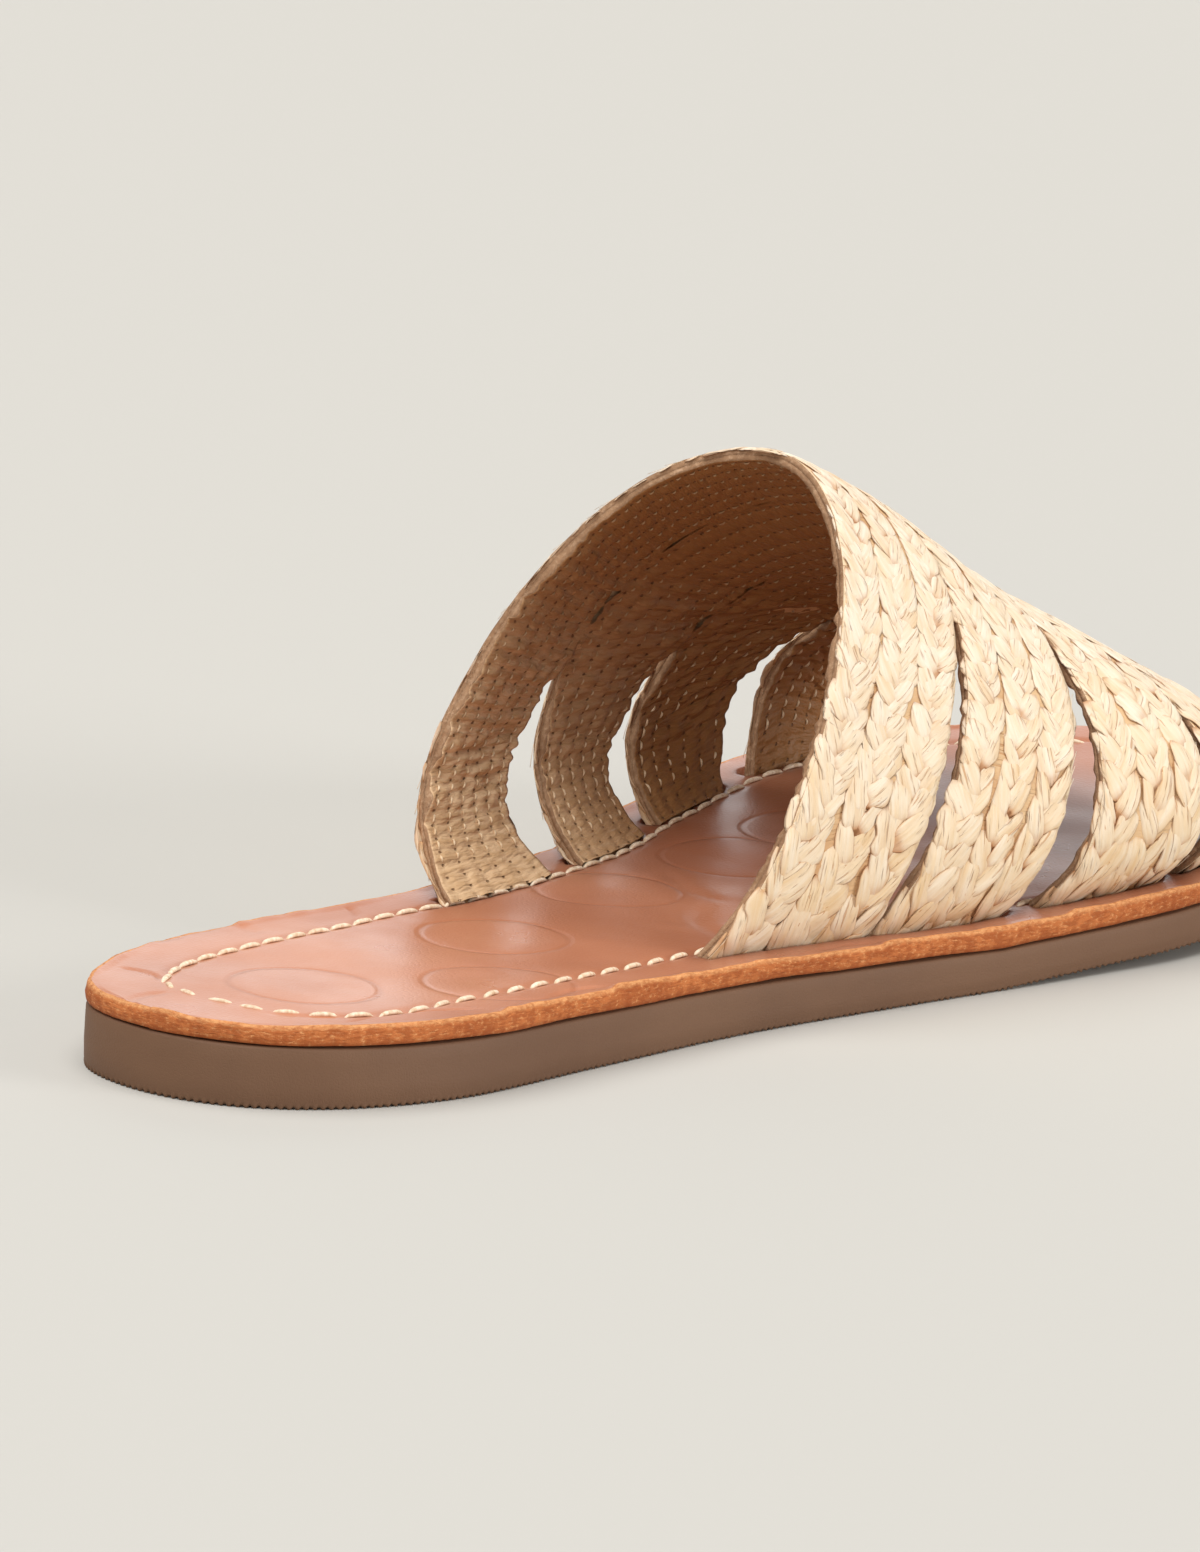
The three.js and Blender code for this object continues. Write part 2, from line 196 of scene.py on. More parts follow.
@dataclass(frozen=True)
class Ripple:
    """Soft seeded noise over two directions, between -1 and 1."""

    seed: int
    cells: int = 64

    def at(self, x: np.ndarray, y: np.ndarray) -> np.ndarray:
        """Height of the noise.

        Args:
            x: place in the first direction, one cell to a whole unit.
            y: place in the second direction.

        Returns:
            The noise at each place.
        """
        lattice = np.random.default_rng(self.seed).uniform(-1, 1, (self.cells, self.cells))
        x, y = np.broadcast_arrays(np.asarray(x, float), np.asarray(y, float))
        column, row = np.floor(x).astype(int), np.floor(y).astype(int)
        u, v = x - column, y - row
        u, v = u * u * (3 - 2 * u), v * v * (3 - 2 * v)

        def corner(right: int, up: int) -> np.ndarray:
            """Value of the lattice at one corner of each cell."""
            return lattice[(column + right) % self.cells, (row + up) % self.cells]

        low = corner(0, 0) * (1 - u) + corner(1, 0) * u
        high = corner(0, 1) * (1 - u) + corner(1, 1) * u
        return low * (1 - v) + high * v


@dataclass(frozen=True)
class SoleForm:
    """Outline, heights and layers of the sole, which the upper stands on too."""

    length: float = 250 * MM
    ball_width: float = 94.5 * MM
    heel_thickness: float = 9.3 * MM
    ball_thickness: float = 5.7 * MM
    insole_thickness: float = 3.1 * MM
    toe_spring: float = 4.6 * MM
    taper_end: float = 0.66
    spring_start: float = 0.58
    spring_power: float = 0.85
    clearance: float = 0.3 * MM
    edge_step: float = 0.001

    @staticmethod
    def angle_of(share: np.ndarray) -> np.ndarray:
        """Turns a share of the length into an angle, so that heel and toe come out round."""
        return np.arccos(1 - 2 * np.clip(share, 0, 1)) / math.pi

    def edge_across(self, side: Side, along: np.ndarray) -> np.ndarray:
        """Place of the sole's edge across the sole, at a distance from the heel."""
        rows = [row._replace(at=float(self.angle_of(row.at))) for row in OUTLINE]
        return self.ball_width * smooth_column(rows, side.column, self.angle_of(along / self.length))

    def inset(self, side: Side, along: np.ndarray, depth: float) -> tuple[np.ndarray, np.ndarray]:
        """A point inside the edge, square to it.

        Args:
            side: the side of the shoe.
            along: distance of the edge's point from the heel.
            depth: how far inside the edge.

        Returns:
            The point's distance from the heel and its place across.
        """
        along = np.asarray(along, float)
        reach = self.edge_step * self.length
        before = np.maximum(along - reach, 0)
        after = np.minimum(along + reach, self.length)
        widening = self.edge_across(side, after) - self.edge_across(side, before)
        size = np.hypot(after - before, widening)
        inward = -side.value * depth
        return (
            along - widening / size * inward,
            self.edge_across(side, along) + (after - before) / size * inward,
        )

    @property
    def middle(self) -> float:
        """The middle of the sole's greatest width, which the model is centred on."""
        along = self.stations(44)
        lateral = self.edge_across(Side.LATERAL, along).min()
        medial = self.edge_across(Side.MEDIAL, along).max()
        return float(lateral + medial) / 2

    def stations(self, count: int) -> np.ndarray:
        """Distances from the heel, closer together at heel and toe."""
        return self.length * (1 - np.cos(math.pi * np.arange(count + 1) / count)) / 2

    def place(self, along: np.ndarray, across: np.ndarray, height: np.ndarray) -> np.ndarray:
        """Points of the model from their distance from the heel, place across and height."""
        parts = np.broadcast_arrays(across - self.middle, self.length / 2 - along, height)
        return np.stack(parts, axis=-1)

    def ring(self, stations: int, depth: np.ndarray | float, height: np.ndarray | float) -> np.ndarray:
        """Points of a ring round the sole.

        Args:
            stations: how many steps a side has.
            depth: how far inside the edge each point lies.
            height: height of each point.

        Returns:
            The ring's points, lateral side first.
        """
        along = self.stations(stations)
        sides = ((Side.LATERAL, slice(None)), (Side.MEDIAL, slice(-2, 0, -1)))
        edges = [self.inset(side, along[order], 0.0) for side, order in sides]
        flat = np.concatenate([self.place(inner, across, 0.0) for inner, across in edges])
        tangent = np.roll(flat, -1, axis=0) - np.roll(flat, 1, axis=0)
        inward = np.stack([-tangent[:, 1], tangent[:, 0], np.zeros(len(flat))], axis=-1)
        inward /= np.linalg.norm(inward, axis=1, keepdims=True)
        ring = flat + inward * np.broadcast_to(depth, len(flat))[:, None]
        ring[:, 2] = height
        return ring

    def bottom(self, along: np.ndarray) -> np.ndarray:
        """Height of the underside, flat up to where the toe spring starts."""
        rising = np.maximum(along / self.length - self.spring_start, 0) / (1 - self.spring_start)
        return self.toe_spring * rising**self.spring_power

    def top(self, along: np.ndarray) -> np.ndarray:
        """Height of the rubber's upper face."""
        taper = np.clip(along / self.length / self.taper_end, 0, 1)
        thinning = (self.ball_thickness - self.heel_thickness) * taper
        return self.bottom(along) + self.heel_thickness + thinning

    def board_bottom(self, along: np.ndarray) -> np.ndarray:
        """Height of the insole board's lower face."""
        return self.top(along) + self.clearance

    def board_top(self, along: np.ndarray) -> np.ndarray:
        """Height of the insole board's upper face."""
        return self.board_bottom(along) + self.insole_thickness


@dataclass(frozen=True)
class ArchForm:
    """The upper's wall as a surface. "s" runs from the collar to the toe edge and "t" over the arch."""

    sole: SoleForm
    instep_rise: float = 77 * MM
    foot_inset: float = 7.2 * MM
    strap_gap: float = 9 * MM
    step: float = 0.001
    row_step: float = 0.05

    @property
    def straps(self) -> int:
        """How many straps the slits leave on each side."""
        return len(SLITS) + 1

    def foot(self, side: Side, s: np.ndarray) -> np.ndarray:
        """Where the middle of the wall meets the insole."""
        share = smooth_column(SECTIONS, side.column, s)
        along, across = self.sole.inset(side, self.sole.length * share, self.foot_inset)
        return self.sole.place(along, across, self.sole.board_top(along) + self.sole.clearance)

    def point(self, s: np.ndarray, t: np.ndarray) -> np.ndarray:
        """Points in the middle of the wall.

        Args:
            s: 0 at the collar's edge, 1 at the toe edge.
            t: 0 at the lateral foot, 1 at the medial foot.

        Returns:
            The points, with one more axis for x, y and z.
        """
        s, t = np.broadcast_arrays(np.asarray(s, float), np.asarray(t, float))
        start, end = self.foot(Side.LATERAL, s), self.foot(Side.MEDIAL, s)
        chord = end - start
        span = np.linalg.norm(chord, axis=-1)
        across = chord / span[..., None]
        toward = np.stack([across[..., 1], -across[..., 0], np.zeros_like(span)], axis=-1)
        toward /= np.linalg.norm(toward, axis=-1, keepdims=True)
        upright = np.cross(toward, across)
        lean = np.radians(smooth_column(SECTIONS, "lean", s))[..., None]
        rising = upright * np.cos(lean) + toward * np.sin(lean)

        rise = self.instep_rise * smooth_column(SECTIONS, "rise", s)
        widest = rise * smooth_column(SECTIONS, "widest", s)
        ridge = span * smooth_column(SECTIONS, "ridge", s)
        width = self.sole.ball_width
        lateral_half = ridge + width * smooth_column(SECTIONS, "lateral_bulge", s)
        medial_half = span - ridge + width * smooth_column(SECTIONS, "medial_bulge", s)
        lateral_tuck = np.arccos(ridge / lateral_half)
        medial_tuck = np.arccos((span - ridge) / medial_half)
        angle = t * (math.pi + lateral_tuck + medial_tuck) - lateral_tuck
        near = angle <= math.pi / 2
        half = np.where(near, lateral_half, medial_half)
        tuck = np.where(near, lateral_tuck, medial_tuck)
        swing = np.sin(angle)
        reach = np.where(swing >= 0, rise - widest, widest / np.sin(tuck))
        sideways = (ridge - half * np.cos(angle))[..., None] * across
        return start + sideways + (widest + reach * swing)[..., None] * rising

    def normal(self, s: np.ndarray, t: np.ndarray) -> np.ndarray:
        """The wall's outward direction."""
        front = self.point(s + self.step, t) - self.point(s - self.step, t)
        over = self.point(s, t + self.step) - self.point(s, t - self.step)
        normal = np.cross(front, over)
        return normal / np.linalg.norm(normal, axis=-1, keepdims=True)

    def offset(self, s: np.ndarray, t: np.ndarray, out: np.ndarray) -> np.ndarray:
        """Points a distance outside the middle of the wall."""
        return self.point(s, t) + self.normal(s, t) * np.asarray(out)[..., None]

    def row_length(self, s: float, t: np.ndarray) -> np.ndarray:
        """Distance along the shoe that a whole unit of s covers."""
        gap = self.point(s + self.row_step, t) - self.point(s - self.row_step, t)
        return np.linalg.norm(gap, axis=-1) / (2 * self.row_step)

    def half_slit(self, slit: SlitRow, t: np.ndarray) -> np.ndarray:
        """Half of a slit's width, as a share of the whole upper along the shoe."""
        t = np.asarray(t, float)
        lateral = t < 0.5
        tip = np.where(lateral, slit.lateral_tip, slit.medial_tip)
        climb = np.where(lateral, t / tip, (1 - t) / (1 - tip))
        climb = np.clip(climb, 0, 1)
        foot = np.where(lateral, slit.lateral_foot, slit.medial_foot)
        swell = np.where(lateral, slit.lateral_swell, slit.medial_swell)
        gap = self.strap_gap * (foot * (1 - climb) + swell * 4 * climb * (1 - climb))
        return gap / 2 / self.row_length(slit.at, t)

    def strap_edge(self, strap: int, end: int, t: np.ndarray) -> np.ndarray:
        """Where a strap starts (end 0) or ends (end 1), along the shoe."""
        boundary = strap + end
        t = np.asarray(t, float)
        if boundary in (0, self.straps):
            return np.full_like(t, boundary / self.straps)
        slit = SLITS[boundary - 1]
        way = smooth_step(slit.medial_tip, (1 + slit.medial_tip) / 2, t)
        lean = self.strap_gap * slit.medial_lean * way / self.row_length(slit.at, t)
        return slit.at + lean + (1 if end == 0 else -1) * self.half_slit(slit, t)

    def across_strap(self, strap: int, share: np.ndarray, t: np.ndarray) -> np.ndarray:
        """Place along the shoe at a share of a strap's width."""
        rear, front = self.strap_edge(strap, 0, t), self.strap_edge(strap, 1, t)
        return rear + (front - rear) * share


@dataclass(frozen=True)
class BandLine:
    """The middle line of a band on the wall, measured from its lateral foot.

    A place "a" to the side of the line, square to it, at a distance "b" along it, is found on the wall
    from how much s and t change for a step to the side.
    """

    arch: ArchForm
    b: np.ndarray
    s: np.ndarray
    t: np.ndarray
    s_side: np.ndarray
    t_side: np.ndarray
    width: np.ndarray

    @classmethod
    def along(cls, arch: ArchForm, strap: int, share: float, share_width: float) -> "BandLine":
        """The line at a share of a strap's width.

        Args:
            arch: the wall.
            strap: number of the strap, from the collar.
            share: place of the line between the strap's rear and front edges.
            share_width: the band's width as a share of the strap's.

        Returns:
            The line from foot to foot.
        """
        t = np.linspace(-0.03, 1.03, 320)
        s = arch.across_strap(strap, share, np.clip(t, 0, 1))
        points = arch.point(s, t)
        steps = np.linalg.norm(np.diff(points, axis=0), axis=1)
        b = np.concatenate([[0], np.cumsum(steps)])
        b -= np.interp(0, t, b)
        tangent = np.gradient(points, axis=0)
        tangent /= np.linalg.norm(tangent, axis=1, keepdims=True)
        step = arch.step
        per_s = (arch.point(s + step, t) - arch.point(s - step, t)) / (2 * step)
        per_t = (arch.point(s, t + step) - arch.point(s, t - step)) / (2 * step)
        side = np.cross(tangent, arch.normal(s, t))
        side /= np.linalg.norm(side, axis=1, keepdims=True)
        ss, tt = (per_s * per_s).sum(1), (per_t * per_t).sum(1)
        st = (per_s * per_t).sum(1)
        to_s, to_t = (per_s * side).sum(1), (per_t * side).sum(1)
        scale = ss * tt - st * st
        s_side, t_side = (to_s * tt - to_t * st) / scale, (to_t * ss - to_s * st) / scale
        held = np.clip(t, 0, 1)
        strap_width = arch.strap_edge(strap, 1, held) - arch.strap_edge(strap, 0, held)
        width = share_width * strap_width * np.abs(to_s)
        return cls(arch, b, s, t, s_side, t_side, width)

    @property
    def length(self) -> float:
        """Distance from the lateral foot to the medial foot."""
        return float(np.interp(1, self.t, self.b))

    def width_at(self, b: np.ndarray) -> np.ndarray:
        """Width of the band at a distance along it."""
        return np.interp(b, self.b, self.width)

    def on_wall(self, a: np.ndarray, b: np.ndarray, out: np.ndarray) -> np.ndarray:
        """Points on the wall.

        Args:
            a: distance to the side of the line.
            b: distance along it.
            out: distance outside the middle of the wall.

        Returns:
            The points, with one more axis for x, y and z.
        """
        s = np.interp(b, self.b, self.s) + a * np.interp(b, self.b, self.s_side)
        t = np.interp(b, self.b, self.t) + a * np.interp(b, self.b, self.t_side)
        return self.arch.offset(s, t, out)


def grid_faces(rows: int, columns: int, wrap: bool = False) -> np.ndarray:
    """Corner numbers of a grid's faces.

    Args:
        rows: how many rows of points there are.
        columns: how many points are in a row.
        wrap: whether each row's end joins its start.

    Returns:
        Four corners for each face.
    """
    row = np.arange(rows - 1)[:, None] * columns
    column = np.arange(columns if wrap else columns - 1)[None, :]
    after = (column + 1) % columns
    corners = [row + column, row + after, row + columns + after, row + columns + column]
    return np.stack(corners, axis=-1).reshape(-1, 4)


def walked_to(points: np.ndarray) -> np.ndarray:
    """Length walked along a line of points to each of them."""
    return np.concatenate([[0], np.cumsum(np.linalg.norm(np.diff(points, axis=0), axis=1))])


@dataclass
class MeshWork:
    """Collects the points and faces of one piece, then makes it."""

    name: str
    points: list[np.ndarray] = field(default_factory=list)
    faces: list[list[int]] = field(default_factory=list)
    slots: list[int] = field(default_factory=list)
    maps: dict[str, list[np.ndarray]] = field(default_factory=dict)
    values: dict[str, list[np.ndarray]] = field(default_factory=dict)
    count: int = 0

    def add(
        self,
        points: np.ndarray,
        faces: np.ndarray,
        slot: int = 0,
        maps: dict[str, np.ndarray] | None = None,
        values: dict[str, np.ndarray] | None = None,
    ) -> int:
        """Adds points and faces.

        Args:
            points: places of the new points.
            faces: corners, counted from the first new point.
            slot: number of the material.
            maps: texture places of each point, by name.
            values: single numbers of each point, by name.

        Returns:
            Number of the first new point.
        """
        first = self.count
        flat = points.reshape(-1, 3)
        self.points.append(flat)
        self.faces.extend((np.asarray(faces) + first).tolist())
        self.slots.extend([slot] * len(faces))
        for name, places in (maps or {}).items():
            self.maps.setdefault(name, []).append(places.reshape(-1, 2))
        for name, numbers in (values or {}).items():
            self.values.setdefault(name, []).append(np.asarray(numbers, float).reshape(-1))
        self.count += len(flat)
        return first

    def cap_tube(self, first: int, rings: int, sides: int, outward: bool = True) -> None:
        """Closes both ends of a tube.

        Args:
            first: the tube's first point.
            rings: how many rings of points it has.
            sides: how many points are in a ring.
            outward: whether its faces look out in the order of the points.
        """
        last = first + (rings - 1) * sides
        start = list(range(first, first + sides))
        end = list(range(last, last + sides))
        self.faces.extend([start[::-1], end] if outward else [start, end[::-1]])
        self.slots.extend([0, 0])

    def close_ring(self, first: int, count: int, below: bool) -> None:
        """Closes a ring with strips from side to side.

        Args:
            first: the ring's first point.
            count: how many points it has.
            below: whether the face looks down.
        """
        for station in range(count // 2):
            across, after = (count - station) % count, count - station - 1
            corners = [first + station, first + station + 1, first + after, first + across]
            corners = list(dict.fromkeys(corners))
            if len(corners) > 2:
                self.faces.append(corners if below else corners[::-1])
                self.slots.append(0)

    def make(self, materials: Sequence[bpy.types.Material], weld: float = 0.0) -> bpy.types.Object:
        """Makes the piece.

        Args:
            materials: its materials, in the order of their numbers.
            weld: points closer than this become one, if it isn't 0.

        Returns:
            The piece, linked into the scene.
        """
        mesh = bpy.data.meshes.new(self.name)
        mesh.from_pydata(np.vstack(self.points).tolist(), [], self.faces)
        corner_points = np.empty(len(mesh.loops), int)
        mesh.loops.foreach_get("vertex_index", corner_points)
        for name, places in self.maps.items():
            layer = mesh.uv_layers.new(name=name)
            layer.data.foreach_set("uv", np.vstack(places)[corner_points].astype(np.float32).ravel())
        for name, numbers in self.values.items():
            layer = mesh.attributes.new(name, "FLOAT", "POINT")
            layer.data.foreach_set("value", np.concatenate(numbers).astype(np.float32))
        mesh.polygons.foreach_set("material_index", self.slots)
        mesh.polygons.foreach_set("use_smooth", [True] * len(mesh.polygons))
        for material in materials:
            mesh.materials.append(material)
        if weld:
            work = bmesh.new()
            work.from_mesh(mesh)
            bmesh.ops.remove_doubles(work, verts=work.verts, dist=weld)
            work.to_mesh(mesh)
            work.free()
        mesh.update()
        piece = bpy.data.objects.new(self.name, mesh)
        bpy.context.scene.collection.objects.link(piece)
        return piece


def settle(piece: bpy.types.Object, slot: str, *nodes: str) -> bpy.types.Object:
    """Puts a piece on the shoe's body and hides the frame's nodes that it replaces.

    Args:
        piece: the piece.
        slot: not used.
        nodes: the frame's nodes that it replaces.

    Returns:
        The same piece.
    """
    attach(piece, BODY)
    if nodes:
        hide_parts(*nodes)
    LOG.info("%s: %d faces", piece.name, len(piece.data.polygons))
    return piece


def srgb(red: int, green: int, blue: int) -> tuple[float, float, float, float]:
    """Linear colour from the eight-bit values that a picture shows."""

    def linear(value: int) -> float:
        """Linear value of one channel."""
        share = value / 255
        return share / 12.92 if share <= 0.04045 else ((share + 0.055) / 1.055) ** 2.4

    return linear(red), linear(green), linear(blue), 1.0


Socket = bpy.types.NodeSocket


@dataclass
class Graph:
    """Adds nodes to a node tree and links them."""

    tree: bpy.types.NodeTree

    def node(self, kind: str, **settings: object) -> bpy.types.Node:
        """Adds a node with its settings."""
        made = self.tree.nodes.new(kind)
        for name, value in settings.items():
            setattr(made, name, value)
        return made

    def feed(self, socket: Socket, value: Socket | float | tuple) -> None:
        """Links a socket to another's output, or sets its value."""
        if isinstance(value, bpy.types.NodeSocket):
            self.tree.links.new(value, socket)
        else:
            socket.default_value = value

    def math(self, operation: str, first: Socket | float, second: Socket | float = 0.0) -> Socket:
        """Output of a Math node."""
        made = self.node("ShaderNodeMath", operation=operation)
        self.feed(made.inputs[0], first)
        self.feed(made.inputs[1], second)
        return made.outputs[0]

    def mix(self, share: Socket | float, low: Socket | tuple, high: Socket | tuple) -> Socket:
        """Colour between two colours. The node's sockets 6, 7 and 2 are those for colours."""
        made = self.node("ShaderNodeMix", data_type="RGBA")
        self.feed(made.inputs[0], share)
        self.feed(made.inputs[6], low)
        self.feed(made.inputs[7], high)
        return made.outputs[2]

    def ramp(self, value: Socket, low: float, high: float, start: float = 0.0, end: float = 1.0) -> Socket:
        """Value eased from a start to an end while the input goes from low to high."""
        made = self.node("ShaderNodeMapRange", interpolation_type="SMOOTHSTEP")
        self.feed(made.inputs[0], value)
        for index, number in enumerate((low, high, start, end), start=1):
            made.inputs[index].default_value = number
        return made.outputs[0]

    def noise(self, place: Socket, scale: Socket | float, detail: float = 2.0, rough: float = 0.5) -> Socket:
        """Noise at a place."""
        made = self.node("ShaderNodeTexNoise")
        self.feed(made.inputs["Vector"], place)
        self.feed(made.inputs["Scale"], scale)
        made.inputs["Detail"].default_value = detail
        made.inputs["Roughness"].default_value = rough
        return made.outputs[0]

    def stretched(self, place: Socket, x: Socket | float, y: Socket | float, z: float = 1.0) -> Socket:
        """A place scaled by a number in each direction."""
        scale = self.node("ShaderNodeCombineXYZ")
        for socket, number in zip(scale.inputs, (x, y, z)):
            self.feed(socket, number)
        made = self.node("ShaderNodeVectorMath", operation="MULTIPLY")
        self.feed(made.inputs[0], place)
        self.feed(made.inputs[1], scale.outputs[0])
        return made.outputs[0]

    def texture_place(self, name: str) -> Socket:
        """A piece's own texture places, in millimetres."""
        return self.node("ShaderNodeUVMap", uv_map=name).outputs[0]

    def object_place(self) -> Socket:
        """Place in the shoe's frame, in metres."""
        return self.node("ShaderNodeTexCoord").outputs["Object"]

    def value(self, name: str) -> Socket:
        """A number that the mesh holds at each point."""
        return self.node("ShaderNodeAttribute", attribute_name=name).outputs["Fac"]

    def bump(self, height: Socket, depth: float, normal: Socket | None = None) -> Socket:
        """Normal of a surface with a height added, in metres."""
        made = self.node("ShaderNodeBump")
        made.inputs["Strength"].default_value = 1.0
        made.inputs["Distance"].default_value = depth
        self.feed(made.inputs["Height"], height)
        if normal is not None:
            self.feed(made.inputs["Normal"], normal)
        return made.outputs[0]

    def group(self, tree: bpy.types.NodeTree, **values: Socket | float) -> bpy.types.NodeOutputs:
        """Places a node group, with underscores in the names of its inputs for spaces."""
        made = self.node("ShaderNodeGroup", node_tree=tree)
        for name, value in values.items():
            self.feed(made.inputs[name.replace("_", " ")], value)
        return made.outputs


def new_group(
    name: str,
    inputs: dict[str, str],
    outputs: Sequence[str],
) -> tuple[Graph, dict[str, Socket], bpy.types.Node]:
    """Starts a shader node group.

    Args:
        name: the group's name.
        inputs: kind of socket of each named input.
        outputs: names of the outputs, all plain values.

    Returns:
        The group's graph, its inputs by name, and its output node.
    """
    tree = bpy.data.node_groups.new(name, "ShaderNodeTree")
    for label, kind in inputs.items():
        tree.interface.new_socket(label, in_out="INPUT", socket_type=kind)
    for label in outputs:
        tree.interface.new_socket(label, in_out="OUTPUT", socket_type="NodeSocketFloat")
    graph = Graph(tree)
    start = graph.node("NodeGroupInput")
    return graph, {label: start.outputs[label] for label in inputs}, graph.node("NodeGroupOutput")


class SurfaceEffects:
    """Node groups that more than one finish uses, each built once."""

    def __init__(self) -> None:
        self.fibres = self.build_fibres()
        self.grain = self.build_grain()
        self.blotches = self.build_blotches()

    @staticmethod
    def build_fibres() -> bpy.types.NodeTree:
        """Fine fibres that run along the first direction of a place, with fainter broad streaks."""
        kinds = {"Place": "NodeSocketVector", "Along": "NodeSocketFloat", "Across": "NodeSocketFloat"}
        graph, given, out = new_group("fibres", kinds, ("Tone", "Height"))
        fine = graph.noise(graph.stretched(given["Place"], given["Along"], given["Across"]), 1.0, 3.0, 0.6)
        wide_across = graph.math("MULTIPLY", given["Across"], 0.28)
        wide = graph.noise(graph.stretched(given["Place"], given["Along"], wide_across), 1.0, 1.0)
        graph.feed(out.inputs["Tone"], graph.ramp(graph.math("ADD", fine, wide), 0.7, 1.3))
        graph.feed(out.inputs["Height"], fine)
        return graph.tree

    @staticmethod
    def build_grain() -> bpy.types.NodeTree:
        """Leather or rubber grain: small cells with creases between them, over softer cloudy relief."""
        kinds = {"Place": "NodeSocketVector", "Pores": "NodeSocketFloat", "Relief": "NodeSocketFloat"}
        graph, given, out = new_group("grain", kinds, ("Tone", "Height"))
        cells = graph.node("ShaderNodeTexVoronoi", feature="DISTANCE_TO_EDGE")
        graph.feed(cells.inputs["Vector"], given["Place"])
        graph.feed(cells.inputs["Scale"], given["Pores"])
        creases = graph.ramp(cells.outputs["Distance"], 0.0, 0.25)
        clouds = graph.noise(given["Place"], given["Relief"], 3.0)
        graph.feed(out.inputs["Tone"], clouds)
        height = graph.math("ADD", graph.math("MULTIPLY", creases, 0.4), clouds)
        graph.feed(out.inputs["Height"], height)
        return graph.tree

    @staticmethod
    def build_blotches() -> bpy.types.NodeTree:
        """Soft uneven colour, as a mask between 0 and 1."""
        kinds = {"Place": "NodeSocketVector", "Scale": "NodeSocketFloat"}
        graph, given, out = new_group("blotches", kinds, ("Mask",))
        graph.feed(out.inputs["Mask"], graph.ramp(graph.noise(given["Place"], given["Scale"], 3.0), 0.3, 0.7))
        return graph.tree


@dataclass(frozen=True)
class Finish:
    """What every finish shares: a name, the effects that it draws on and its shader's plain values."""

    effects: SurfaceEffects
    name: str = "finish"
    roughness: float = 0.6
    specular: float = 0.4

    def start(self) -> tuple[bpy.types.Material, Graph, bpy.types.Node]:
        """Makes an empty material with its shader.

        Returns:
            The material, its graph and its Principled shader.
        """
        material = bpy.data.materials.new(self.name)
        material.use_nodes = True
        graph = Graph(material.node_tree)
        shader = material.node_tree.nodes["Principled BSDF"]
        shader.inputs["Roughness"].default_value = self.roughness
        shader.inputs["Specular IOR Level"].default_value = self.specular
        return material, graph, shader


@dataclass(frozen=True)
class RaffiaFinish(Finish):
    """Pale dry raffia with darker fibres and orange-brown splits and flecks, and painted shade in
    orange-brown and umber where the strands go under each other, along their rims and at their feet.
    """

    name: str = "raffia"
    roughness: float = 0.62
    pale: tuple = srgb(243, 229, 209)
    straw: tuple = srgb(231, 199, 154)
    # Orange-brown of the raffia's splits and flecks, also used as painted shade where strands tuck under.
    crease: tuple = srgb(184, 116, 56)
    # Painted shade colour where the tucks are deepest.
    shade_umber: tuple = srgb(120, 74, 36)
    # Extra straw tone; the backing uses it as painted shade between the strands.
    shade: float = 0.0

    def build(self) -> bpy.types.Material:
        """Makes the material."""
        material, graph, shader = self.start()
        place = graph.texture_place("strand")
        fibres = graph.group(self.effects.fibres, Place=place, Along=0.16, Across=3.2)
        fold = graph.noise(graph.stretched(place, 0.35, 0.7), 1.0, 1.0)
        # The tone value carries painted shade in the fold troughs.
        tone = graph.math("ADD", graph.math("MULTIPLY", fibres["Tone"], 0.4), graph.value("tone"))
        colour = graph.mix(graph.math("ADD", tone, self.shade), self.pale, self.straw)
        splits = graph.noise(graph.stretched(place, 0.2, 2.3), 1.0, 2.0, 0.6)
        colour = graph.mix(graph.ramp(splits, 0.62, 0.68, 0.0, 0.55), colour, self.crease)
        blotch = graph.group(self.effects.blotches, Place=graph.object_place(), Scale=110.0)["Mask"]
        # Painted shade where the strands tuck under, along their rims and at their feet, umber where deepest.
        depth = graph.math("MULTIPLY", graph.value("crease"), graph.ramp(blotch, 0.0, 1.0, 0.45, 1.0))
        colour = graph.mix(depth, colour, self.crease)
        colour = graph.mix(graph.ramp(depth, 0.7, 0.95, 0.0, 0.8), colour, self.shade_umber)
        flecks = graph.noise(graph.stretched(place, 0.42, 1.25), 1.0, 3.0, 0.65)
        colour = graph.mix(graph.ramp(flecks, 0.67, 0.73, 0.0, 0.7), colour, self.crease)
        graph.feed(shader.inputs["Base Color"], colour)
        bend = graph.bump(fold, 0.25 * MM)
        split = graph.bump(graph.ramp(splits, 0.58, 0.68), -0.09 * MM, bend)
        graph.feed(shader.inputs["Normal"], graph.bump(fibres["Height"], 0.14 * MM, split))
        return material


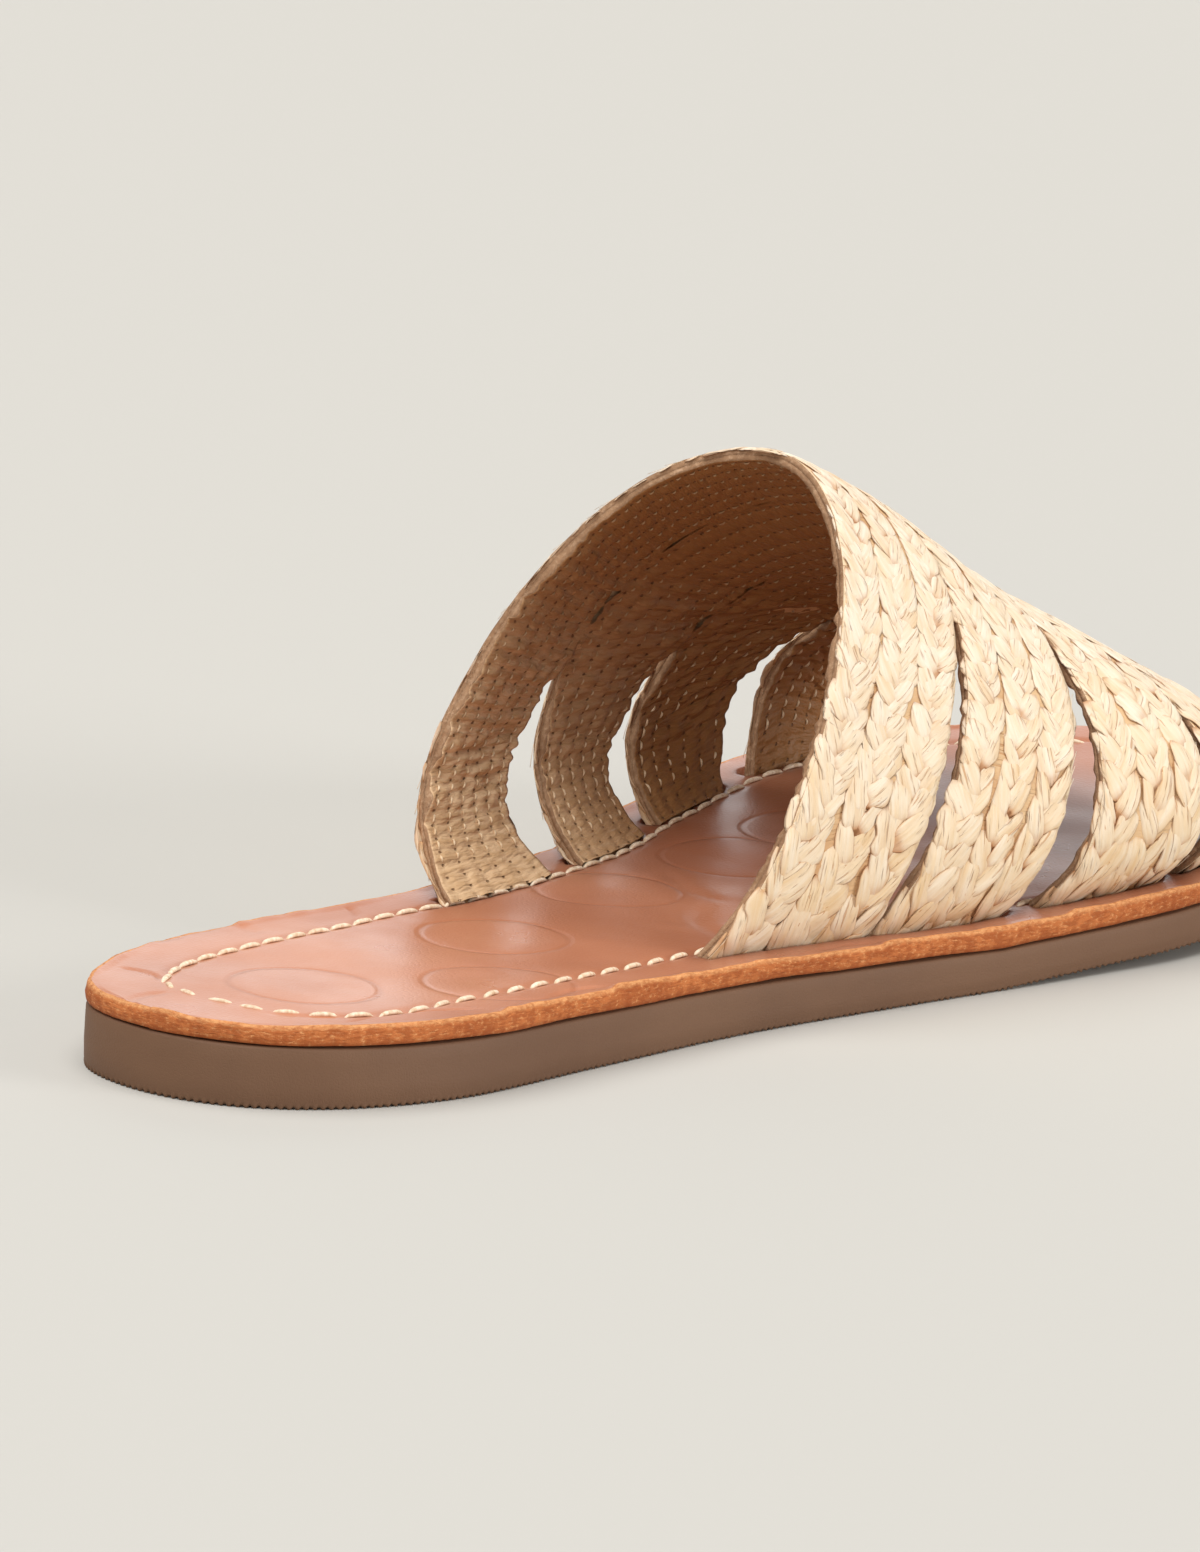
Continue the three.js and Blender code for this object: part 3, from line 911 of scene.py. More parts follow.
@dataclass(frozen=True)
class LiningFinish(Finish):
    """Tan leather lining, pricked beside each stitch and creased across the rows, with painted shade in the
    holes and painted shade that darkens it to brown towards the roof.
    """

    name: str = "lining leather"
    roughness: float = 0.5
    specular: float = 0.35
    tan: tuple = srgb(234, 200, 160)
    dark: tuple = srgb(204, 166, 124)
    # Painted shade colour of the roof.
    shade_umber: tuple = srgb(150, 100, 50)
    # Painted shade colour in the stitch holes.
    pit: tuple = srgb(112, 76, 44)
    stitch_pitch: float = 2.35 * MM
    row_width: float = 2.6 * MM
    hole_radius: float = 0.13 * MM

    def build(self) -> bpy.types.Material:
        """Makes the material. Its texture places count rows across and millimetres along."""
        material, graph, shader = self.start()
        place = graph.texture_place("rows")
        parts = graph.node("ShaderNodeSeparateXYZ")
        graph.feed(parts.inputs[0], place)
        row, along = parts.outputs[0], parts.outputs[1]
        pitch, radius = self.stitch_pitch / MM, self.hole_radius / MM
        row_gap = graph.math("ABSOLUTE", graph.math("SUBTRACT", graph.math("FRACT", row), 0.5))
        beat = graph.math("FRACT", graph.math("DIVIDE", along, pitch))
        along_gap = graph.math("ABSOLUTE", graph.math("SUBTRACT", beat, 0.5))
        along_part = graph.math("POWER", graph.math("MULTIPLY", along_gap, pitch), 2.0)
        row_part = graph.math("POWER", graph.math("MULTIPLY", row_gap, self.row_width / MM), 2.0)
        hole = graph.math("SQRT", graph.math("ADD", row_part, along_part))
        pit = graph.ramp(hole, radius, radius * 2.2, 1.0, 0.0)
        creases = graph.noise(graph.stretched(place, 0.9, 0.75), 1.0, 2.0)
        grain = graph.group(self.effects.grain, Place=graph.object_place(), Pores=1400.0, Relief=260.0)
        blotch = graph.group(self.effects.blotches, Place=graph.object_place(), Scale=42.0)["Mask"]
        uneven = graph.math("MULTIPLY", graph.math("ADD", blotch, grain["Tone"]), 0.5)
        colour = graph.mix(uneven, self.tan, self.dark)
        colour = graph.mix(graph.ramp(creases, 0.42, 0.62), colour, self.dark)
        # Painted shade: darker brown towards the roof.
        colour = graph.mix(graph.math("MULTIPLY", graph.value("roof_shade"), 0.9), colour, self.shade_umber)
        # Painted shade in the stitch holes.
        colour = graph.mix(graph.math("MULTIPLY", pit, 0.8), colour, self.pit)
        graph.feed(shader.inputs["Base Color"], colour)
        creased = graph.bump(creases, 0.9 * MM)
        pricked = graph.bump(pit, -0.22 * MM, creased)
        graph.feed(shader.inputs["Normal"], graph.bump(grain["Height"], 0.05 * MM, pricked))
        return material


@dataclass(frozen=True)
class CutEdgeFinish(Finish):
    """The raw fibrous edge of the leather board, streaked along its length."""

    name: str = "cut leather"
    roughness: float = 0.75
    specular: float = 0.3
    body: tuple = srgb(205, 120, 64)
    pale: tuple = srgb(234, 170, 112)
    deep: tuple = srgb(158, 76, 30)
    depth: float = 0.35 * MM

    def build(self) -> bpy.types.Material:
        """Makes the material. Its texture places run along the edge and up it, in millimetres."""
        material, graph, shader = self.start()
        place = graph.texture_place("edge")
        fibres = graph.group(self.effects.fibres, Place=place, Along=0.55, Across=2.6)
        fluff = graph.noise(graph.stretched(place, 1.1, 2.2), 1.0, 4.0, 0.7)
        blotch = graph.group(self.effects.blotches, Place=graph.object_place(), Scale=85.0)["Mask"]
        colour = graph.mix(graph.math("MULTIPLY", blotch, 0.55), self.body, self.deep)
        colour = graph.mix(graph.ramp(fluff, 0.5, 0.72), colour, self.pale)
        colour = graph.mix(graph.ramp(fibres["Tone"], 0.75, 0.2, 0.0, 0.6), colour, self.deep)
        parts = graph.node("ShaderNodeSeparateXYZ")
        graph.feed(parts.inputs[0], place)
        up = parts.outputs[1]
        colour = graph.mix(graph.ramp(up, 0.9, 0.0, 0.0, 0.55), colour, self.deep)
        fringe = graph.math("MULTIPLY", graph.ramp(up, 2.3, 3.0), graph.ramp(fluff, 0.35, 0.6, 0.25, 0.8))
        colour = graph.mix(fringe, colour, self.pale)
        graph.feed(shader.inputs["Base Color"], colour)
        tufts = graph.bump(fluff, self.depth)
        graph.feed(shader.inputs["Normal"], graph.bump(fibres["Height"], self.depth * 0.5, tufts))
        return material


@dataclass(frozen=True)
class FeltFinish(Finish):
    """The fuzzy cut edge of the lining."""

    name: str = "lining edge"
    roughness: float = 0.9
    specular: float = 0.15
    body: tuple = srgb(170, 132, 100)
    pale: tuple = srgb(200, 164, 132)
    deep: tuple = srgb(112, 80, 56)

    def build(self) -> bpy.types.Material:
        """Makes the material."""
        material, graph, shader = self.start()
        place = graph.object_place()
        fuzz = graph.noise(place, 1300.0, 4.0, 0.75)
        blotch = graph.group(self.effects.blotches, Place=place, Scale=240.0)["Mask"]
        colour = graph.mix(graph.ramp(fuzz, 0.45, 0.7), self.body, self.pale)
        colour = graph.mix(graph.math("MULTIPLY", blotch, 0.45), colour, self.deep)
        graph.feed(shader.inputs["Base Color"], colour)
        graph.feed(shader.inputs["Normal"], graph.bump(fuzz, 0.35 * MM))
        return material


@dataclass(frozen=True)
class BoardFinish(Finish):
    """Smooth tan insole leather with pressed circles and painted shade round the strap feet and under the
    arch.
    """

    name: str = "insole leather"
    roughness: float = 0.33
    specular: float = 0.26
    tan: tuple = srgb(199, 134, 102)
    deep: tuple = srgb(166, 101, 71)
    # Painted shade colour.
    shade_brown: tuple = srgb(96, 48, 30)
    circles: tuple = ()
    circle_radius: float = 11 * MM
    groove: float = 0.9 * MM

    def build(self) -> bpy.types.Material:
        """Makes the material."""
        material, graph, shader = self.start()
        place = graph.object_place()
        grain = graph.group(self.effects.grain, Place=place, Pores=1100.0, Relief=60.0)
        blotch = graph.group(self.effects.blotches, Place=place, Scale=26.0)["Mask"]
        colour = graph.mix(graph.math("MULTIPLY", blotch, 0.7), self.tan, self.deep)
        pressed = self.pressed_lines(graph, place)
        colour = graph.mix(graph.math("MULTIPLY", pressed, 0.35), colour, self.deep)
        # Painted shade round the strap feet and under the arch.
        colour = graph.mix(graph.math("MULTIPLY", graph.value("board_shade"), 0.75), colour, self.shade_brown)
        graph.feed(shader.inputs["Base Color"], colour)
        lines = graph.bump(pressed, -0.1 * MM)
        graph.feed(shader.inputs["Normal"], graph.bump(grain["Height"], 0.035 * MM, lines))
        rough = graph.ramp(grain["Tone"], 0.3, 0.7, self.roughness - 0.06, self.roughness + 0.08)
        graph.feed(shader.inputs["Roughness"], rough)
        return material

    def pressed_lines(self, graph: Graph, place: Socket) -> Socket:
        """A mask of the circles' rims."""
        flat = graph.stretched(place, 1.0, 1.0, 0.0)
        mask: Socket | float = 0.0
        for x, y in self.circles:
            reach = graph.node("ShaderNodeVectorMath", operation="DISTANCE")
            graph.feed(reach.inputs[0], flat)
            reach.inputs[1].default_value = (x, y, 0.0)
            off = graph.math("ABSOLUTE", graph.math("SUBTRACT", reach.outputs["Value"], self.circle_radius))
            mask = graph.math("MAXIMUM", mask, graph.ramp(off, 0.0, self.groove, 1.0, 0.0))
        return mask


@dataclass(frozen=True)
class RubberFinish(Finish):
    """Matt taupe moulded rubber."""

    name: str = "sole rubber"
    roughness: float = 0.62
    specular: float = 0.35
    taupe: tuple = srgb(118, 86, 63)
    shade: tuple = srgb(103, 73, 53)

    def build(self) -> bpy.types.Material:
        """Makes the material."""
        material, graph, shader = self.start()
        place = graph.object_place()
        grain = graph.group(self.effects.grain, Place=place, Pores=1900.0, Relief=480.0)
        blotch = graph.group(self.effects.blotches, Place=place, Scale=34.0)["Mask"]
        colour = graph.mix(graph.math("MULTIPLY", blotch, 0.6), self.taupe, self.shade)
        graph.feed(shader.inputs["Base Color"], colour)
        graph.feed(shader.inputs["Normal"], graph.bump(grain["Height"], 0.04 * MM))
        return material


@dataclass(frozen=True)
class ThreadFinish(Finish):
    """Waxed cream thread, twisted, with painted shade where its stitches lie in the lining's roof."""

    name: str = "thread"
    roughness: float = 0.6
    cream: tuple = srgb(248, 230, 204)
    shade: tuple = srgb(216, 186, 150)
    # Painted shade colour of the thread.
    stitch_shade: tuple = srgb(150, 108, 66)

    def build(self) -> bpy.types.Material:
        """Makes the material."""
        material, graph, shader = self.start()
        fibres = graph.group(self.effects.fibres, Place=graph.texture_place("strand"), Along=1.6, Across=2.4)
        colour = graph.mix(fibres["Tone"], self.cream, self.shade)
        graph.feed(shader.inputs["Base Color"], graph.mix(graph.value("stitch_shade"), colour, self.stitch_shade))
        graph.feed(shader.inputs["Normal"], graph.bump(fibres["Height"], 0.1 * MM))
        return material


@dataclass(frozen=True)
class FloorFinish(Finish):
    """Plain pale floor."""

    name: str = "floor"
    roughness: float = 0.9
    specular: float = 0.0
    pale: tuple = srgb(197, 194, 187)

    def build(self) -> bpy.types.Material:
        """Makes the material."""
        material, graph, shader = self.start()
        blotch = graph.group(self.effects.blotches, Place=graph.object_place(), Scale=0.6)["Mask"]
        slightly = tuple(channel * 0.985 for channel in self.pale[:3]) + (1.0,)
        graph.feed(shader.inputs["Base Color"], graph.mix(blotch, self.pale, slightly))
        return material


@dataclass(frozen=True)
class Stitch:
    """One visible stitch: a plump straight thread that dives into its holes."""

    length: float
    width: float
    height: float
    rings: int = 7
    sides: int = 8

    def points(self) -> np.ndarray:
        """Places of the stitch's points along, across and out, ring by ring."""
        along = np.linspace(-1, 1, self.rings)[:, None]
        turn = 2 * math.pi * np.arange(self.sides)[None, :] / self.sides
        thick = np.clip(1 - np.abs(along) ** 3, 0, 1) ** 0.7 + 0.15
        dive = np.abs(along) ** 3 * 0.9 * self.height
        across = thick * np.cos(turn) * self.width / 2
        out = thick * np.sin(turn) * self.height / 2 - dive
        return np.stack(np.broadcast_arrays(along * self.length / 2, across, out), axis=-1)

    def faces(self) -> np.ndarray:
        """Corners of the stitch's faces."""
        return grid_faces(self.rings, self.sides, wrap=True)

    def place_into(
        self,
        work: MeshWork,
        centre: np.ndarray,
        along: np.ndarray,
        out: np.ndarray,
        stitch_shade: float = 0.0,
    ) -> None:
        """Adds the stitch to a piece.

        Args:
            work: the piece.
            centre: where the stitch lies.
            along: the way that it runs.
            out: the way out of the leather.
            stitch_shade: how much painted shade darkens the thread, from 0 to 1.
        """
        local = self.points()
        along = along / np.linalg.norm(along)
        side = np.cross(out, along)
        side /= np.linalg.norm(side)
        up = np.cross(along, side)
        points = centre + local[..., :1] * along + local[..., 1:2] * side + local[..., 2:] * up
        strand = np.stack([local[..., 0] / MM, local[..., 1] / MM + 7.3 * centre[0] / MM], axis=-1)
        values = {"stitch_shade": np.full(local.shape[:-1], stitch_shade)}
        first = work.add(points, self.faces(), maps={"strand": strand}, values=values)
        work.cap_tube(first, self.rings, self.sides)


@dataclass(frozen=True)
class Sole:
    """The rubber outsole."""

    form: SoleForm
    tooth: float = 1.25 * MM
    tooth_depth: float = 0.34 * MM
    tread_height: float = 0.9 * MM
    lip: float = 0.5 * MM
    stations: int = 700

    def build(self, rubber: bpy.types.Material) -> bpy.types.Object:
        """Makes the sole, from the tread's edge up."""
        form = self.form
        work = MeshWork("rubber_sole")
        edge = form.ring(self.stations, 0.0, 0.0)
        along = form.length / 2 - edge[:, 1]
        walked = walked_to(edge)
        notch = self.tooth_depth * (0.5 + 0.5 * np.cos(2 * math.pi * walked / self.tooth))
        wander = Ripple(5).at(walked / (3 * self.tooth), 0.5) * 0.3
        low, high = form.bottom(along), form.top(along)
        rows = (
            (2.6 * MM, low + 0.2 * MM),
            (1.0 * MM + notch, low + notch),
            (0.12 * MM + notch * (1 + wander), low + notch),
            (notch * 0.6, low + notch * 0.6 + 0.5 * self.tread_height),
            (0.12 * MM, low + self.tread_height),
            (0.02 * MM, low + 1.3 * self.tread_height),
            (-0.08 * MM, low + (high - low) * 0.4),
            (-0.05 * MM, low + (high - low) * 0.75),
            (0.0, high - 0.45 * MM),
            (0.12 * MM, high - 0.12 * MM),
            (self.lip, high),
        )
        rings = np.stack([form.ring(self.stations, depth, height) for depth, height in rows])
        count = rings.shape[1]
        first = work.add(rings, grid_faces(len(rows), count, wrap=True)[:, ::-1])
        work.close_ring(first, count, below=True)
        work.close_ring(first + (len(rows) - 1) * count, count, below=False)
        return work.make([rubber], weld=1e-7)


class LipStep(NamedTuple):
    """A place where the rubbed lip of the board's edge rises suddenly and then eases down again."""

    side: Side
    at: float
    rise: float


class SectionPoint(NamedTuple):
    """A point of a strand's section: its place across and its rise, as shares of the half sizes."""

    across: float
    rise: float


STRAND_SECTION = (
    SectionPoint(1.0, 0.0),
    SectionPoint(0.88, 0.8),
    SectionPoint(0.6, 1.0),
    SectionPoint(0.2, 1.1),
    SectionPoint(-0.2, 1.1),
    SectionPoint(-0.6, 1.0),
    SectionPoint(-0.88, 0.8),
    SectionPoint(-1.0, 0.0),
    SectionPoint(-0.6, -1.0),
    SectionPoint(0.0, -1.1),
    SectionPoint(0.6, -1.0),
)


class Crease(NamedTuple):
    """A soft trough in the board: its ends along and across the sole, its width and its depth."""

    start: tuple[float, float]
    end: tuple[float, float]
    width: float
    depth: float


class RawRow(NamedTuple):
    """A row of the raw edge: its share of the height, its depth inside the edge, its texture's share up."""

    share: float
    depth: float
    up: float


RAW_ROWS = (
    RawRow(0.0, 0.5 * MM, 0.0),
    RawRow(0.04, 0.12 * MM, 0.04),
    RawRow(0.2, 0.02 * MM, 0.2),
    RawRow(0.36, 0.0, 0.36),
    RawRow(0.52, 0.02 * MM, 0.52),
    RawRow(0.68, 0.0, 0.68),
    RawRow(0.84, 0.02 * MM, 0.84),
    RawRow(0.95, 0.1 * MM, 0.95),
    RawRow(1.0, 0.3 * MM, 1.02),
    RawRow(1.0, 0.62 * MM, 1.12),
)


@dataclass(frozen=True)
class Board:
    """The leather insole board with its seam, pressed circles, creases and slots."""

    form: SoleForm
    arch: ArchForm
    columns: int = 120
    stations: int = 400
    rounding: float = 0.5 * MM
    seam_pitch: float = 5.31 * MM
    seam_start: float = 3.2 * MM
    seam_end: float = 4 * MM
    seam_slant: float = 7.0
    seam_wobble: float = 2.5
    seam_stitch: Stitch = Stitch(length=5.0 * MM, width=0.78 * MM, height=0.62 * MM)
    seam_trough: float = 0.35 * MM
    seam_trough_width: float = 1.1 * MM
    circle_radius: float = 10.96 * MM
    circle_rim: float = 1.1 * MM
    circle_depth: float = 0.15 * MM
    slot_depth: float = 2.6 * MM
    slot_half: float = 1.3 * MM
    # Reach of the painted shade round the strap feet, and its strength under the arch.
    shade_reach: float = 2.6 * MM
    arch_shade: float = 0.32
    circles: tuple = (
        (29.6 * MM, -3.3 * MM),
        (54.2 * MM, -19.5 * MM),
        (77.7 * MM, 0.6 * MM),
        (115.3 * MM, 9.8 * MM),
        (147.2 * MM, 11.9 * MM),
        (169.1 * MM, 14.0 * MM),
    )
    creases: tuple = (
        Crease((16.3 * MM, 21 * MM), (16.4 * MM, 12 * MM), 1.1 * MM, 0.4 * MM),
        Crease((-1 * MM, 4.6 * MM), (11 * MM, 5.5 * MM), 2.0 * MM, 0.3 * MM),
        Crease((76 * MM, 31 * MM), (70 * MM, 20.4 * MM), 1.1 * MM, 0.45 * MM),
        Crease((51 * MM, 30 * MM), (49.3 * MM, 21.5 * MM), 2.4 * MM, 0.25 * MM),
        Crease((14 * MM, -22.4 * MM), (41 * MM, -30.2 * MM), 0.9 * MM, 0.4 * MM),
        Crease((52 * MM, -30.4 * MM), (68 * MM, -31.0 * MM), 0.9 * MM, 0.4 * MM),
        Crease((108 * MM, -34.8 * MM), (123 * MM, -36.4 * MM), 1.0 * MM, 0.35 * MM),
        Crease((155 * MM, -37.4 * MM), (171 * MM, -41.2 * MM), 1.2 * MM, 0.35 * MM),
        Crease((104 * MM, -22 * MM), (122 * MM, -4 * MM), 3.2 * MM, 0.3 * MM),
        Crease((124 * MM, -8 * MM), (134 * MM, 14 * MM), 3.0 * MM, 0.3 * MM),
        Crease((150 * MM, -18 * MM), (158 * MM, 6 * MM), 3.0 * MM, 0.25 * MM),
    )
    lip_steps: tuple = (
        LipStep(Side.LATERAL, 41 * MM, 0.55 * MM),
        LipStep(Side.LATERAL, 65.5 * MM, 0.75 * MM),
        LipStep(Side.LATERAL, 96 * MM, 0.35 * MM),
        LipStep(Side.LATERAL, 121.8 * MM, 0.7 * MM),
        LipStep(Side.LATERAL, 158 * MM, 0.45 * MM),
        LipStep(Side.MEDIAL, 51.6 * MM, 0.5 * MM),
        LipStep(Side.MEDIAL, 132 * MM, 0.4 * MM),
    )

    @staticmethod
    def seam_inset(side: Side, along: np.ndarray) -> np.ndarray:
        """How far inside the edge the seam runs."""
        return smooth_column(SEAM, side.column, along / MM) * MM

    def lip(self, side: np.ndarray, along: np.ndarray, walked: np.ndarray) -> np.ndarray:
        """Height of the rubbed lip round the edge, over the board's face.

        Args:
            side: the sign of each place's side.
            along: distance from the heel.
            walked: distance round the edge.

        Returns:
            The height at each place.
        """
        height = Ripple(21).at(walked / (15 * MM), 0.5) * 0.38 * MM
        height = height + Ripple(22).at(walked / (3.4 * MM), 0.5) * 0.18 * MM
        for step in self.lip_steps:
            past = along - step.at
            rising = smooth_step(-1.2 * MM, 1.0 * MM, past) * np.exp(-np.maximum(past, 0) / (13 * MM))
            height = height + step.rise * rising * (side == step.side.value)
        return height

    def seam_line(self, side: Side) -> np.ndarray:
        """Points along the seam on one side, from the heel, and the length walked to each."""
        along = self.form.stations(1600)
        inner, across = self.form.inset(side, along, self.seam_inset(side, along))
        centre = float(self.form.edge_across(Side.LATERAL, 0.0))
        keep = (across - centre) * side.value > 0
        inner, across = inner[keep], across[keep]
        points = self.form.place(inner, across, self.relief_top(inner, across, seam=False))
        return np.column_stack([points, walked_to(points)])

    def relief_top(self, along: np.ndarray, across: np.ndarray, seam: bool = True) -> np.ndarray:
        """Height of the board's upper face with its relief.

        Args:
            along: distance from the heel.
            across: place across the sole.
            seam: whether the seam's trough is pressed in.

        Returns:
            The height at each place.
        """
        height = self.form.board_top(along)
        height = height + Ripple(11).at(along / (17 * MM), across / (13 * MM)) * 0.22 * MM
        height = height + Ripple(12).at(along / (6 * MM), across / (5 * MM)) * 0.06 * MM
        for centre_along, centre_across in self.circles:
            reach = np.hypot(along - centre_along, across - centre_across)
            rim = np.exp(-(((reach - self.circle_radius) / self.circle_rim) ** 2))
            turn = np.arctan2(across - centre_across, along - centre_along)
            held = 0.55 + 0.45 * Ripple(14).at(turn * 1.1 + centre_along / MM, centre_across / MM)
            height = height - self.circle_depth * rim * held
        for crease in self.creases:
            height = height - self.trough(crease, along, across)
        if seam:
            height = height - self.seam_dip(along, across)
        return height

    @staticmethod
    def trough(crease: Crease, along: np.ndarray, across: np.ndarray) -> np.ndarray:
        """Depth of one crease at each place."""
        start, end = np.array(crease.start), np.array(crease.end)
        run = end - start
        reach = ((along - start[0]) * run[0] + (across - start[1]) * run[1]) / (run @ run)
        held = np.clip(reach, 0, 1)
        bow = 0.12 * np.linalg.norm(run) * np.sin(math.pi * held)
        side = np.array([-run[1], run[0]]) / np.linalg.norm(run)
        off_along = along - (start[0] + held * run[0] + side[0] * bow)
        off_across = across - (start[1] + held * run[1] + side[1] * bow)
        fade = smooth_step(0, 0.25, held) * (1 - smooth_step(0.75, 1, held))
        return crease.depth * fade * np.exp(-(off_along**2 + off_across**2) / (crease.width / 2) ** 2)

    def seam_dip(self, along: np.ndarray, across: np.ndarray) -> np.ndarray:
        """Depth of the seam's trough, by how far each place is from the edge."""
        dip = np.zeros_like(np.broadcast_arrays(along, across)[0], float)
        reach = self.form.length * self.form.edge_step
        for side in Side:
            edge, after, before = (self.form.edge_across(side, along + step) for step in (0, reach, -reach))
            depth = np.abs(across - edge) / np.hypot(1, (after - before) / (2 * reach))
            off_seam = depth - self.seam_inset(side, along)
            dip = np.maximum(dip, np.exp(-((off_seam / self.seam_trough_width) ** 2)))
        held = smooth_step(10 * MM, 16 * MM, along) * (1 - smooth_step(238 * MM, 242 * MM, along))
        return self.seam_trough * dip * held

    def slot_reach(self, points: np.ndarray) -> np.ndarray:
        """How far each point lies from the nearest strap's foot, seen from above."""
        flat = points.reshape(-1, 3)
        nearest = np.full(len(flat), np.inf)
        for strap in range(self.arch.straps):
            for side, t in ((Side.LATERAL, 0.0), (Side.MEDIAL, 1.0)):
                share = np.linspace(0.02, 0.98, 60)
                s = self.arch.across_strap(strap, share, np.full_like(share, t))
                foot = self.arch.foot(side, s) + self.arch.normal(s, np.full_like(s, t)) * 0.35 * MM
                for point in foot:
                    reach = np.hypot(flat[:, 0] - point[0], flat[:, 1] - point[1])
                    nearest = np.minimum(nearest, reach)
        return nearest.reshape(points.shape[:-1])

    def build(self, face: bpy.types.Material, cut: bpy.types.Material) -> bpy.types.Object:
        """Makes the board: its raw edge, then its upper face."""
        work = MeshWork("insole_board")
        self.add_face(work, self.add_edge(work))
        return work.make([face, cut], weld=2e-6)

    def add_edge(self, work: MeshWork) -> np.ndarray:
        """Adds the raw edge, fluffy and uneven, and closes the board below.

        Args:
            work: the piece.

        Returns:
            The points of the edge's rim, round to the first one again.
        """
        form = self.form
        edge = form.ring(self.stations, 0.0, 0.0)
        along = form.length / 2 - edge[:, 1]
        walked = walked_to(edge)
        low, high = form.board_bottom(along), form.board_top(along)
        lateral = np.arange(len(edge)) <= self.stations
        side = np.where(lateral, Side.LATERAL.value, Side.MEDIAL.value)
        rise = high + self.lip(side, along, walked) - low
        rings = []
        for number, row in enumerate(RAW_ROWS):
            rough = Ripple(31 + number).at(walked / (1.3 * MM), row.share * 9) * 0.11 * MM
            broad = Ripple(24).at(walked / (12 * MM), row.share) * 0.14 * MM
            foot = Ripple(25).at(walked / (10 * MM), 0.5) * 0.18 * MM * (1 - row.share)
            bulge = 0.22 * MM * math.sin(math.pi * row.share)
            height = low + foot + rise * row.share
            rings.append(form.ring(self.stations, row.depth - rough + broad - bulge, height))
        rings = np.stack([np.vstack([ring, ring[:1]]) for ring in rings])
        count = rings.shape[1]
        walked = np.append(walked, walked[-1] + np.linalg.norm(edge[-1] - edge[0])) / MM
        up = np.array([row.up for row in RAW_ROWS])[:, None] * form.insole_thickness / MM
        maps = {"edge": np.stack(np.broadcast_arrays(walked[None, :], up), axis=-1)}
        values = {"board_shade": np.zeros(rings.shape[:2])}
        faces = grid_faces(len(rings), count)[:, ::-1]
        first = work.add(rings, faces, slot=1, maps=maps, values=values)
        work.close_ring(first, count - 1, below=True)
        return rings[-1]

    def add_face(self, work: MeshWork, rim: np.ndarray) -> None:
        """Adds the upper face with its relief, slots and painted shade.

        Args:
            work: the piece.
            rim: the points of the edge's rim, round to the first one again.
        """
        form = self.form
        steps = np.arange(self.columns + 1) / self.columns
        share = 0.25 * (1 - np.cos(math.pi * steps)) / 2 + 0.75 * steps
        share = share[None, :, None]
        lateral = rim[: self.stations + 1, None]
        medial = rim[::-1][: self.stations + 1, None]
        top = lateral * (1 - share) + medial * share
        along, across = form.length / 2 - top[..., 1], top[..., 0] + form.middle
        inside = np.minimum(*(np.linalg.norm(top - side, axis=-1) for side in (lateral, medial)))
        ease = smooth_step(0, 3 * self.rounding, inside)
        top[..., 2] = top[..., 2] * (1 - ease) + self.relief_top(along, across) * ease
        reach = self.slot_reach(top)
        cut_down = 1 - smooth_step(self.slot_half, self.slot_half + 0.45 * MM, reach)
        top[..., 2] -= self.slot_depth * cut_down * (inside > 1 * MM)
        # Painted shade: dark round the strap feet and fainter under the arch.
        near_slots = np.exp(-np.maximum(reach - self.slot_half, 0) / self.shade_reach)
        tread = smooth_step(80 * MM, 102 * MM, along) * (1 - smooth_step(128 * MM, 160 * MM, along))
        values = {"board_shade": np.maximum(near_slots, self.arch_shade * tread)}
        maps = {"edge": np.zeros(top.shape[:2] + (2,))}
        work.add(top, grid_faces(self.stations + 1, self.columns + 1), maps=maps, values=values)

    def build_seam(self, thread: bpy.types.Material) -> bpy.types.Object:
        """Makes the seam's stitches round the whole board."""
        work = MeshWork("insole_seam")
        stitch = self.seam_stitch
        chance = np.random.default_rng(3)
        for side in Side:
            line = self.seam_line(side)
            walked = line[:, 3]
            for place in np.arange(self.seam_start, walked[-1] - self.seam_end, self.seam_pitch):
                ends = (place - stitch.length / 2, place + stitch.length / 2)
                start, end = np.stack([np.interp(ends, walked, line[:, axis]) for axis in range(3)], axis=1)
                along = end - start
                slant = -side.value * math.radians(self.seam_slant + chance.normal(0, self.seam_wobble))
                along = np.array(Matrix.Rotation(slant, 3, "Z") @ Vector(along))
                centre = (start + end) / 2 + np.array([0, 0, 0.02 * MM])
                stitch.place_into(work, centre, along, np.array([0.0, 0.0, 1.0]))
        return work.make([thread])


class PlaitGap(NamedTuple):
    """A narrow gap between two plaits of a strap, along part of its length from the lateral foot."""

    strap: int
    plait: int
    start: float
    end: float
    width: float


